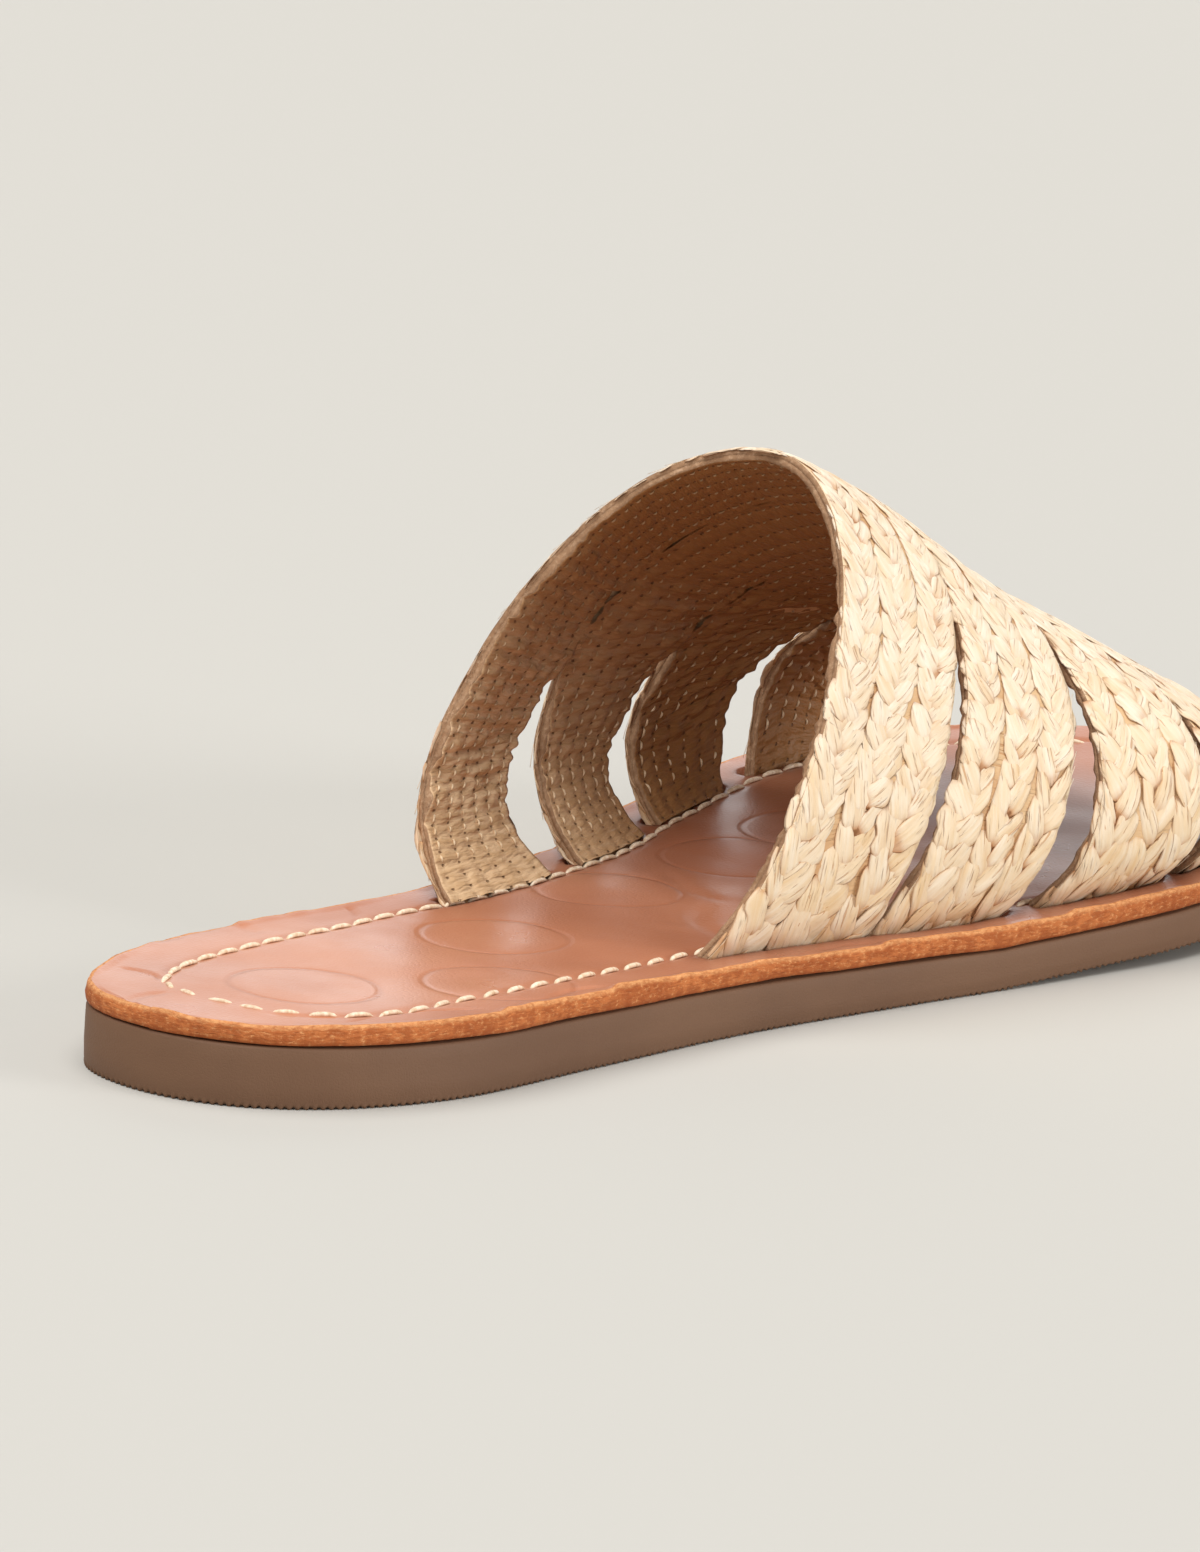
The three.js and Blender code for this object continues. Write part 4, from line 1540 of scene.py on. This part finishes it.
@dataclass(frozen=True)
class Strand:
    """One strand of a plait: a flat folded leaf from the plait's edge down under the other column.

    Its column is -1 on the rear side of the plait's line and 1 on the front side. "u" runs along the
    strand from its upper end to the end that goes under.
    """

    line: BandLine
    column: int
    at_rim: bool
    parted: Sequence[PlaitGap]
    place: float
    length: float
    half_plait: float
    near_foot: float
    edge: float
    half_width: float
    lift: float
    lean: float
    sweep: float
    cell: np.ndarray
    mark: float
    shade: float
    offset: float
    rings: int = 12
    thickness: float = 0.2 * MM
    crown: float = 0.14 * MM
    over_back: float = 0.08 * MM
    lowest: float = -2.2 * MM

    @staticmethod
    def relief_at(near_foot: float) -> float:
        """How plump a strand stands: flatter over the instep than near its foot."""
        return 0.36 + 0.64 * near_foot

    @classmethod
    def drawn(
        cls,
        line: BandLine,
        column: int,
        place: float,
        pitch: float,
        at_rim: bool,
        parted: Sequence[PlaitGap],
        chance: np.random.Generator,
    ) -> "Strand":
        """Draws a strand's sizes at random, round those of its plait.

        Args:
            line: the plait's middle line.
            column: -1 on the rear side of the line, 1 on the front side.
            place: where it begins along the line.
            pitch: distance to the next strand.
            at_rim: whether it wraps over a cut edge of the upper.
            parted: the narrow gaps on this side of the plait.
            chance: source of its unevenness.

        Returns:
            The strand.
        """
        length = pitch * (1.85 + chance.normal(0, 0.2))
        place = place + length * 0.35 + chance.normal(0, 0.5 * MM)
        half_plait = line.width_at(np.clip(place, 0, line.length)) / 2
        near_foot = 1 - float(smooth_step(8 * MM, 48 * MM, min(place, line.length - place)))
        relief = cls.relief_at(near_foot)
        outwards = 0.76 + 0.14 * near_foot if at_rim else 0.72
        return cls(
            line=line,
            column=column,
            at_rim=at_rim,
            parted=parted,
            place=place,
            length=length,
            half_plait=half_plait,
            near_foot=near_foot,
            edge=column * half_plait * (outwards + chance.normal(0, 0.06)),
            half_width=half_plait * np.clip(0.56 + chance.normal(0, 0.1), 0.36, 0.8),
            lift=chance.normal(0, 0.08 * MM) * relief,
            lean=chance.normal(0, 0.16 * MM) * relief,
            sweep=1.25 + chance.normal(0, 0.22),
            cell=chance.uniform(0, 60, 4),
            mark=np.clip(chance.uniform(0.25, 1.3), 0, 1),
            shade=chance.uniform(0.0, 0.2),
            offset=chance.uniform(0, 900),
        )

    def flat_places(self, u: np.ndarray, across: np.ndarray) -> tuple[np.ndarray, np.ndarray]:
        """Places of its points beside the plait's line and along it.

        Args:
            u: places along the strand.
            across: distances across it.

        Returns:
            The distances to the side of the line and along it.
        """
        run_a = self.edge * (1 - self.sweep * u**1.4)
        run_b = self.place - self.length * u
        slope_a, slope_b = -1.4 * self.edge * self.sweep * u**0.4, -self.length
        size = np.hypot(slope_a, slope_b)
        a = run_a - slope_b / size * across
        b = run_b + slope_a / size * across
        for gap in self.parted:
            run = np.clip((b - gap.start) / (gap.end - gap.start), 0, 1)
            lips = self.half_plait - gap.width / 2 * np.sin(math.pi * run)
            a = np.where(lips < self.half_plait, self.column * np.minimum(self.column * a, lips), a)
        return a, np.maximum(b, self.lowest - 0.2 * np.maximum(-b, 0))

    def height(self, u: np.ndarray, folds: np.ndarray, a: np.ndarray, upper: "Upper") -> np.ndarray:
        """Height of its points over the middle of the wall.

        Args:
            u: places along the strand.
            folds: how far each point lies on a fold's crest.
            a: distances to the side of the plait's line.
            upper: the upper that it lies on.

        Returns:
            The heights.
        """
        across = np.array([point.across for point in STRAND_SECTION])[None, :]
        rise = np.array([point.rise for point in STRAND_SECTION])[None, :]
        relief = self.relief_at(self.near_foot)
        above = (self.thickness + 0.14 * MM * folds) * rise * relief
        thick = np.where(rise > 0, above, self.thickness * rise)
        ends = np.sin(math.pi * (0.1 + 0.8 * u)) ** 0.4
        under = 0.45 * MM * smooth_step(0.62, 1.0, u) + 0.3 * MM * (1 - smooth_step(0.0, 0.18, u))
        under = under * relief
        beyond = np.clip(np.abs(a) / self.half_plait, 0, 1.3)
        if self.at_rim:
            wrap = smooth_step(0.9, 1.08, beyond) * (a * self.column > 0)
            under = under + upper.rim_wrap * upper.backing * wrap
        crown = self.crown * (1 - beyond**2.2)
        face = upper.back + self.over_back + crown + self.lift
        return face + thick * ends - under + self.lean * across * ends

    def colours(self, u: np.ndarray, folds: np.ndarray, b: np.ndarray) -> dict[str, np.ndarray]:
        """How straw-coloured each point is, and how much painted shade it gets where it tucks under.

        Args:
            u: places along the strand.
            folds: how far each point lies on a fold's crest.
            b: distances along the plait's line.

        Returns:
            The values of the two, by name.
        """
        across = np.array([point.across for point in STRAND_SECTION])[None, :]
        # Painted shade at both ends, where the strand tucks under, and at the plait's foot.
        ends = np.maximum(smooth_step(0.66, 0.86, u), 0.8 * (1 - smooth_step(0.0, 0.14, u)))
        crease = self.mark * ends + 0.7 * (1 - smooth_step(-0.5 * MM, 2.5 * MM, b))
        # Painted shade along the rims, stronger near the feet and less on fold crests.
        rim = np.abs(across) ** 16
        crease = np.clip(0.95 * crease + (0.45 + 0.3 * self.near_foot) * rim - 0.2 * folds, 0, 1)
        # Straw tone: random per strand, painted shade in fold troughs, and more straw-coloured towards the
        # feet.
        return {"tone": self.shade - 0.3 * (folds - 0.3) + 0.28 * self.near_foot, "crease": crease}

    def add_to(self, work: MeshWork, upper: "Upper") -> None:
        """Adds the strand to a piece.

        Args:
            work: the piece.
            upper: the upper that it lies on.
        """
        u = np.linspace(0, 1, self.rings)[:, None]
        across = np.array([point.across for point in STRAND_SECTION])[None, :]
        ragged = 1 + 0.34 * Ripple(81).at(u * 4.0 + self.cell[0], np.sign(across) * 2.5 + self.cell[1])
        leaf = self.half_width * np.sin(math.pi * (0.07 + 0.88 * u)) ** 0.7 * ragged
        folds = 0.5 - np.abs(Ripple(83).at(across * 2.1 + self.cell[2], u * 1.1 + self.cell[3])) * 1.4
        a, b = self.flat_places(u, leaf * across)
        points = self.line.on_wall(a, b, self.height(u, folds, a, upper))
        places = np.broadcast_arrays(u * self.length / MM, across * leaf / MM + self.offset)
        maps = {"strand": np.stack(places, axis=-1)}
        sides = len(STRAND_SECTION)
        outward = self.column < 0
        faces = grid_faces(self.rings, sides, wrap=True)[:, :: 1 if outward else -1]
        first = work.add(points, faces, maps=maps, values=self.colours(u, folds, b))
        work.cap_tube(first, self.rings, sides, outward)


@dataclass(frozen=True)
class Upper:
    """The raffia upper: a stitched leather lining, a backing and plaited strands."""

    arch: ArchForm
    lining: float = 0.85 * MM
    backing: float = 0.95 * MM
    plaits: int = 3
    strand_pitch: float = 3.1 * MM
    foot_growth: float = 0.7
    foot_reach: float = 34 * MM
    stitch_pitch: float = 2.35 * MM
    row_width: float = 2.6 * MM
    lining_stitch: Stitch = Stitch(1.25 * MM, 0.32 * MM, 0.28 * MM, rings=5, sides=5)
    open_width: float = 1.5 * MM
    sway_size: float = 0.38 * MM
    rim_wrap: float = 0.5
    rows: int = 320
    seed: int = 17
    gaps: tuple = (
        PlaitGap(strap=1, plait=0, start=17 * MM, end=34 * MM, width=1.1 * MM),
        PlaitGap(strap=0, plait=1, start=52 * MM, end=96 * MM, width=0.7 * MM),
        PlaitGap(strap=1, plait=0, start=58 * MM, end=86 * MM, width=0.7 * MM),
    )

    @property
    def inner(self) -> float:
        """Offset of the lining's inner face from the middle of the wall."""
        return -(self.lining + self.backing) / 2

    @property
    def join(self) -> float:
        """Offset of the face where the lining meets the raffia."""
        return self.inner + self.lining

    @property
    def back(self) -> float:
        """Offset of the backing's outer face."""
        return self.join + self.backing

    def shell(
        self,
        work: MeshWork,
        low: float,
        high: float,
        per_plait: int,
        rows: int,
        relief: bool,
        outer_slot: int,
        rim_slot: int,
    ) -> None:
        """Adds the straps as one layer of the wall.

        Args:
            work: the piece.
            low: offset of the layer's inner face.
            high: offset of its outer face.
            per_plait: columns of faces to a plait.
            rows: rows of faces over the arch.
            relief: whether the inner face has the lining's puckers.
            outer_slot: number of the outer face's material.
            rim_slot: number of the cut edges' material.
        """
        columns = self.plaits * per_plait
        t = np.linspace(-0.012, 1.012, rows + 1)
        held = np.clip(t, 0, 1)
        for strap in range(self.arch.straps):
            edges = [self.arch.strap_edge(strap, end, held) for end in (0, 1)]
            free = [self.free_edge(strap + end, held) for end in (0, 1)]
            sway = [self.sway(strap + end, held) * free[end] for end in (0, 1)]
            rear, front = edges[0] + sway[0], edges[1] + sway[1]
            share = np.arange(columns + 1) / columns
            s = rear[:, None] + (front - rear)[:, None] * share[None, :]
            grid_t = np.broadcast_to(t[:, None], s.shape)
            line = BandLine.along(self.arch, strap, 0.5, 1.0)
            b = np.broadcast_to(np.interp(t, line.t, line.b)[:, None], s.shape)
            row = (strap * self.plaits + share * self.plaits) * 2
            row = np.broadcast_to(row[None, :], s.shape)
            puckers = self.puckers(row, b, np.clip(grid_t, 0, 1)) if relief else np.zeros_like(s)
            inner = self.arch.offset(s, grid_t, low - puckers)
            outer = self.arch.offset(s, grid_t, np.full_like(s, high))
            maps = {"rows": np.stack([row, b / MM], axis=-1)}
            # Painted shade for the lining: lightest low on the straps near the collar, darker towards the
            # roof and the toe.
            lit = 1 - smooth_step(0.15, 0.38, np.minimum(grid_t, 1 - grid_t))
            lit = lit * (1 - smooth_step(0.2, 0.6, s))
            values = {"roof_shade": 1 - lit}
            faces = grid_faces(rows + 1, columns + 1)
            start_in = work.add(inner, faces[:, ::-1], maps=maps, values=values)
            start_out = work.add(outer, faces, slot=outer_slot, maps=maps, values=values)
            for end in (0, 1):
                for index in range(rows):
                    if free[end][index] > 0 or free[end][index + 1] > 0:
                        here = index * (columns + 1) + columns * end
                        after = here + columns + 1
                        corners = [start_in + here, start_out + here, start_out + after, start_in + after]
                        work.faces.append(corners if end == 0 else corners[::-1])
                        work.slots.append(rim_slot)

    def free_edge(self, boundary: int, t: np.ndarray) -> np.ndarray:
        """How free a strap's edge stands, from 0 where the slit is shut to 1 where it is open."""
        if boundary in (0, self.arch.straps):
            return np.ones_like(t)
        slit = SLITS[boundary - 1]
        gap = 2 * self.arch.half_slit(slit, t) * self.arch.row_length(slit.at, t)
        return np.clip(gap / self.open_width, 0, 1)

    def sway(self, boundary: int, t: np.ndarray) -> np.ndarray:
        """Uneven line of a cut edge, as a share of the whole upper along the shoe."""
        wave = Ripple(50 + boundary).at(t * 17, 0.5) + 0.5 * Ripple(60 + boundary).at(t * 47, 0.5)
        wave = wave + 0.35 * Ripple(65 + boundary).at(t * 140, 0.5)
        at = min(max(boundary / self.arch.straps, 0.1), 0.9)
        return wave * self.sway_size / self.arch.row_length(at, t)

    def puckers(self, row: np.ndarray, b: np.ndarray, t: np.ndarray) -> np.ndarray:
        """How far the lining swells inwards, pulled down at each stitch hole and wrinkled between.

        Args:
            row: place across, where each whole unit holds one row of stitches.
            b: distance from the lateral foot.
            t: place over the arch.

        Returns:
            The height of the swelling.
        """
        off_row = (row - np.floor(row) - 0.5) * self.row_width
        beat = b / self.stitch_pitch
        off_hole = (beat - np.floor(beat) - 0.5) * self.stitch_pitch
        dimple = np.exp(-(off_row**2 + off_hole**2) / (0.5 * MM) ** 2)
        groove = np.exp(-((off_row / (0.45 * MM)) ** 2))
        side = np.abs(t - 0.5)
        tight = smooth_step(0.1, 0.2, side) * (1 - 0.85 * smooth_step(0.37, 0.45, side))
        wrinkles = Ripple(71).at(b / (1.25 * MM), row * 0.62) + 0.6 * Ripple(73).at(b / (0.9 * MM), row * 1.1)
        folds = Ripple(72).at(b / (4.2 * MM), row * 0.3)
        wrinkles = wrinkles * (1 - 0.6 * groove)
        swell = wrinkles * (0.03 + 0.46 * tight) * MM + folds * (0.12 + 0.36 * tight) * MM
        return swell - ((0.2 + 0.2 * tight) * dimple + 0.1 * groove) * MM

    def build_lining(self, face: bpy.types.Material, cut: bpy.types.Material) -> bpy.types.Object:
        """Makes the lining with its puckers and raw edges."""
        work = MeshWork("lining")
        self.shell(work, self.inner, self.join, 12, self.rows, relief=True, outer_slot=1, rim_slot=1)
        return work.make([face, cut], weld=3e-6)

    def build_backing(self, raffia: bpy.types.Material, cut: bpy.types.Material) -> bpy.types.Object:
        """Makes the flat raffia that shows between the strands, coloured deeper as painted shade between
        them.
        """
        work = MeshWork("raffia_backing")
        high = self.back - 0.05 * MM
        self.shell(work, self.join, high, 4, 110, relief=False, outer_slot=0, rim_slot=1)
        work.maps["strand"] = work.maps.pop("rows")
        # Painted shade: deeper straw and orange-brown inside each strap, paler at its edges.
        tones, creases = [], []
        for part in work.maps["strand"]:
            share = part[:, 0] / 2 / self.plaits
            share = share - math.floor(float(share.min()) + 1e-6)
            inside = smooth_step(0.0, 0.1, np.minimum(share, 1 - share))
            tones.append(0.3 + 0.4 * inside)
            creases.append(0.05 + 0.5 * inside)
        work.values["tone"], work.values["crease"] = tones, creases
        return work.make([raffia, cut], weld=3e-6)

    def build_lining_stitches(self, thread: bpy.types.Material) -> bpy.types.Object:
        """Makes the rows of running stitches inside, longer and plumper beside the free edges."""
        work = MeshWork("lining_stitches")
        rows = 2 * self.plaits
        chance = np.random.default_rng(self.seed + 2)
        for strap in range(self.arch.straps):
            middle = BandLine.along(self.arch, strap, 0.5, 1.0)
            for row in range(rows):
                plump = 1.25 if row in (0, rows - 1) else 1.0
                last = int((middle.length - 2 * MM) / self.stitch_pitch)
                places = np.arange(1, last) * self.stitch_pitch
                t = np.interp(places, middle.b, middle.t)
                after = np.interp(places + 0.5 * MM, middle.b, middle.t)
                share = (row + 0.5) / rows
                s, s_after = (self.arch.across_strap(strap, share, at) for at in (t, after))
                out = self.arch.normal(s, t)
                swell = self.puckers(np.full_like(t, row + 0.5), places, t)
                sunk = self.inner - swell - 0.18 * MM + chance.normal(0, 0.03, len(t)) * MM
                here = self.arch.offset(s, t, sunk)
                there = self.arch.offset(s_after, after, sunk)
                # Stitches in the roof are smaller and darkened with painted shade.
                roof = smooth_step(0.12, 0.3, np.minimum(t, 1 - t))
                for centre, ahead, normal, faint in zip(here, there, out, 1 - 0.35 * roof):
                    size = plump * faint * (1 + chance.normal(0, 0.12))
                    usual = self.lining_stitch
                    stitch = replace(usual, length=usual.length * size, width=usual.width * plump * faint)
                    lean = ahead - centre + np.cross(normal, ahead - centre) * chance.normal(0, 0.15)
                    stitch.place_into(work, centre, lean, -normal, stitch_shade=2.2 * (1 - faint))
        return work.make([thread])

    def strand_places(self, line: BandLine, start: float) -> list[float]:
        """Where the strands of one column begin along a plait.

        Args:
            line: the plait's middle line.
            start: the first place.

        Returns:
            Distances from the lateral foot, closer together over the instep.
        """
        places = [start]
        while places[-1] < line.length + 6 * MM:
            from_foot = min(places[-1], line.length - places[-1])
            growth = self.foot_growth * (1 - float(smooth_step(0, self.foot_reach, from_foot)))
            places.append(places[-1] + self.strand_pitch * (1 + growth))
        return places

    def build_strands(self, raffia: bpy.types.Material) -> list[bpy.types.Object]:
        """Makes the plaits, a piece to a strap: two columns of slanting strands to a plait."""
        pieces = []
        chance = np.random.default_rng(self.seed)
        for strap in range(self.arch.straps):
            work = MeshWork(f"raffia_plaits_{strap + 1}")
            gaps = [gap for gap in self.gaps if gap.strap == strap]
            for plait in range(self.plaits):
                share = (plait + 0.5) / self.plaits
                line = BandLine.along(self.arch, strap, share, 1 / self.plaits)
                for column in (-1, 1):
                    at_rim = plait + column in (-1, self.plaits)
                    parted = [gap for gap in gaps if gap.plait == plait - (column < 0)]
                    places = self.strand_places(line, -2.5 * MM if column < 0 else -0.4 * MM)
                    for place, after in zip(places, places[1:]):
                        strand = Strand.drawn(line, column, place, after - place, at_rim, parted, chance)
                        strand.add_to(work, self)
            pieces.append(work.make([raffia]))
        return pieces

    def build_wisps(self, raffia: bpy.types.Material) -> bpy.types.Object:
        """Makes the frayed fibres that stand off the straps' edges and feet."""
        work = MeshWork("raffia_wisps")
        chance = np.random.default_rng(self.seed + 1)
        for strap in range(self.arch.straps):
            for end in (0, 1):
                line = BandLine.along(self.arch, strap, 0.04 if end == 0 else 0.96, 0.1)
                for place in chance.uniform(0, line.length, 22):
                    self.add_wisp(work, line, place, -1 if end == 0 else 1, chance)
        return work.make([raffia])

    def add_wisp(
        self,
        work: MeshWork,
        line: BandLine,
        place: float,
        way: int,
        chance: np.random.Generator,
    ) -> None:
        """Adds one loose fibre.

        Args:
            work: the piece.
            line: a line beside the strap's edge.
            place: where the fibre leaves it.
            way: -1 towards the collar, 1 towards the toe.
            chance: source of its unevenness.
        """
        rings, sides = 7, 4
        u = np.linspace(0, 1, rings)[:, None]
        turn = 2 * math.pi * np.arange(sides)[None, :] / sides
        length = chance.uniform(2.0, 4.5) * MM
        swing = chance.uniform(-0.35, 0.35)
        a = way * (0.3 * MM + length * 0.18 * u**1.5) + 0.07 * MM * np.cos(turn)
        b = np.broadcast_to(place + length * (u - 0.5) * math.cos(swing), a.shape)
        out = self.back + 0.2 * MM + chance.uniform(0, 0.3) * MM * u + 0.05 * MM * np.sin(turn) * (1.1 - u)
        points = line.on_wall(a, b, out)
        maps = {"strand": np.stack(np.broadcast_arrays(u * length / MM, turn * 0.1 + place / MM), axis=-1)}
        values = {"tone": np.full(a.shape, 0.2), "crease": np.full(a.shape, 0.05)}
        first = work.add(points, grid_faces(rings, sides, wrap=True), maps=maps, values=values)
        work.cap_tube(first, rings, sides)


class SoftLight(NamedTuple):
    """An even light from far away: where it comes from, its width in degrees and its strength."""

    name: str
    source: tuple[float, float, float]
    spread: float
    strength: float


SOFT_LIGHTS = (
    SoftLight("overhead", (0.1, 0.3, 1.0), 70.0, 2.95),
    SoftLight("key", (-0.45, 1.0, 0.5), 40.0, 0.7),
    SoftLight("back", (0.6, -0.75, 0.42), 40.0, 0.5),
    SoftLight("side", (-1.0, -0.35, 0.25), 26.0, 1.6),
)


@dataclass(frozen=True)
class Studio:
    """Plain floor, soft light and the photograph's camera."""

    length: float = 250 * MM
    lens: float = 750.0
    sensor: float = 36.0
    camera_place: tuple = (-2216.2 * MM, 2675.35 * MM, 868.9 * MM)
    camera_right: tuple = (-0.77345, -0.63202, 0.04817)
    camera_up: tuple = (0.18168, -0.14825, 0.97212)
    floor_size: float = 14.0
    floor_points: int = 9
    floor_drop: float = 0.02 * MM
    daylight: float = 0.22
    daylight_colour: tuple = (1.0, 0.985, 0.96, 1.0)

    def build_camera(self) -> None:
        """Makes the camera behind and a little above the shoe, on its lateral side."""
        data = bpy.data.cameras.new("camera")
        data.lens = self.lens
        data.sensor_fit = "HORIZONTAL"
        data.sensor_width = self.sensor
        data.clip_start, data.clip_end = 0.1, 60.0
        camera = bpy.data.objects.new("camera", data)
        up = Vector(self.camera_up)
        back = Vector(self.camera_right).cross(up).normalized()
        right = up.cross(back).normalized()
        heel = Vector((0, self.length / 2, 0))
        turned = Matrix((right, back.cross(right), back)).transposed().to_4x4()
        camera.matrix_world = Matrix.Translation(heel + Vector(self.camera_place)) @ turned
        bpy.context.scene.collection.objects.link(camera)
        bpy.context.scene.camera = camera

    def build_floor(self, finish: bpy.types.Material) -> None:
        """Makes the floor."""
        work = MeshWork("floor")
        reach = np.linspace(-self.floor_size / 2, self.floor_size / 2, self.floor_points)
        x, y = np.meshgrid(reach, reach)
        points = np.stack([x, y, np.full_like(x, -self.floor_drop)], axis=-1)
        work.add(points, grid_faces(self.floor_points, self.floor_points))
        work.make([finish])

    def build_light(self) -> None:
        """Makes the soft lights and the pale surroundings."""
        world = bpy.data.worlds.new("studio")
        world.use_nodes = True
        background = world.node_tree.nodes["Background"]
        background.inputs["Color"].default_value = self.daylight_colour
        background.inputs["Strength"].default_value = self.daylight
        bpy.context.scene.world = world
        for light in SOFT_LIGHTS:
            data = bpy.data.lights.new(light.name, "SUN")
            data.angle = math.radians(light.spread)
            data.energy = light.strength
            placed = bpy.data.objects.new(light.name, data)
            placed.rotation_euler = (-Vector(light.source)).to_track_quat("-Z", "Y").to_euler()
            bpy.context.scene.collection.objects.link(placed)


def main() -> None:
    """Builds the studio and the shoe in order."""
    logging.basicConfig(level=logging.INFO, format="%(message)s")
    bpy.context.scene.view_settings.view_transform = "Standard"
    sole = SoleForm()
    arch = ArchForm(sole)
    effects = SurfaceEffects()
    studio = Studio(sole.length)
    studio.build_camera()
    studio.build_floor(FloorFinish(effects).build())
    studio.build_light()

    board = Board(sole, arch)
    circles = tuple((across - sole.middle, sole.length / 2 - along) for along, across in board.circles)
    raffia = RaffiaFinish(effects).build()
    # The backing gets a deeper straw tone as painted shade between the strands.
    backing = RaffiaFinish(effects, name="raffia backing", shade=0.2).build()
    thread = ThreadFinish(effects).build()
    lining_thread = ThreadFinish(
        effects,
        name="lining thread",
        cream=srgb(244, 222, 188),
        shade=srgb(214, 182, 142),
    ).build()
    felt = FeltFinish(effects).build()

    settle(Sole(sole).build(RubberFinish(effects).build()), "rubber", "outsole")
    board_face = BoardFinish(effects, circles=circles).build()
    settle(board.build(board_face, CutEdgeFinish(effects).build()), "leather", "insole")
    settle(board.build_seam(thread), "leather")

    upper = Upper(arch)
    lining = LiningFinish(effects, stitch_pitch=upper.stitch_pitch, row_width=upper.row_width).build()
    settle(upper.build_lining(lining, felt), "leather", "upper")
    settle(upper.build_lining_stitches(lining_thread), "leather")
    settle(upper.build_backing(backing, felt), "raffia", "upper")
    for plaits in upper.build_strands(raffia):
        settle(plaits, "raffia", "upper")
    settle(upper.build_wisps(raffia), "raffia")


if __name__ == "__main__":
    main()
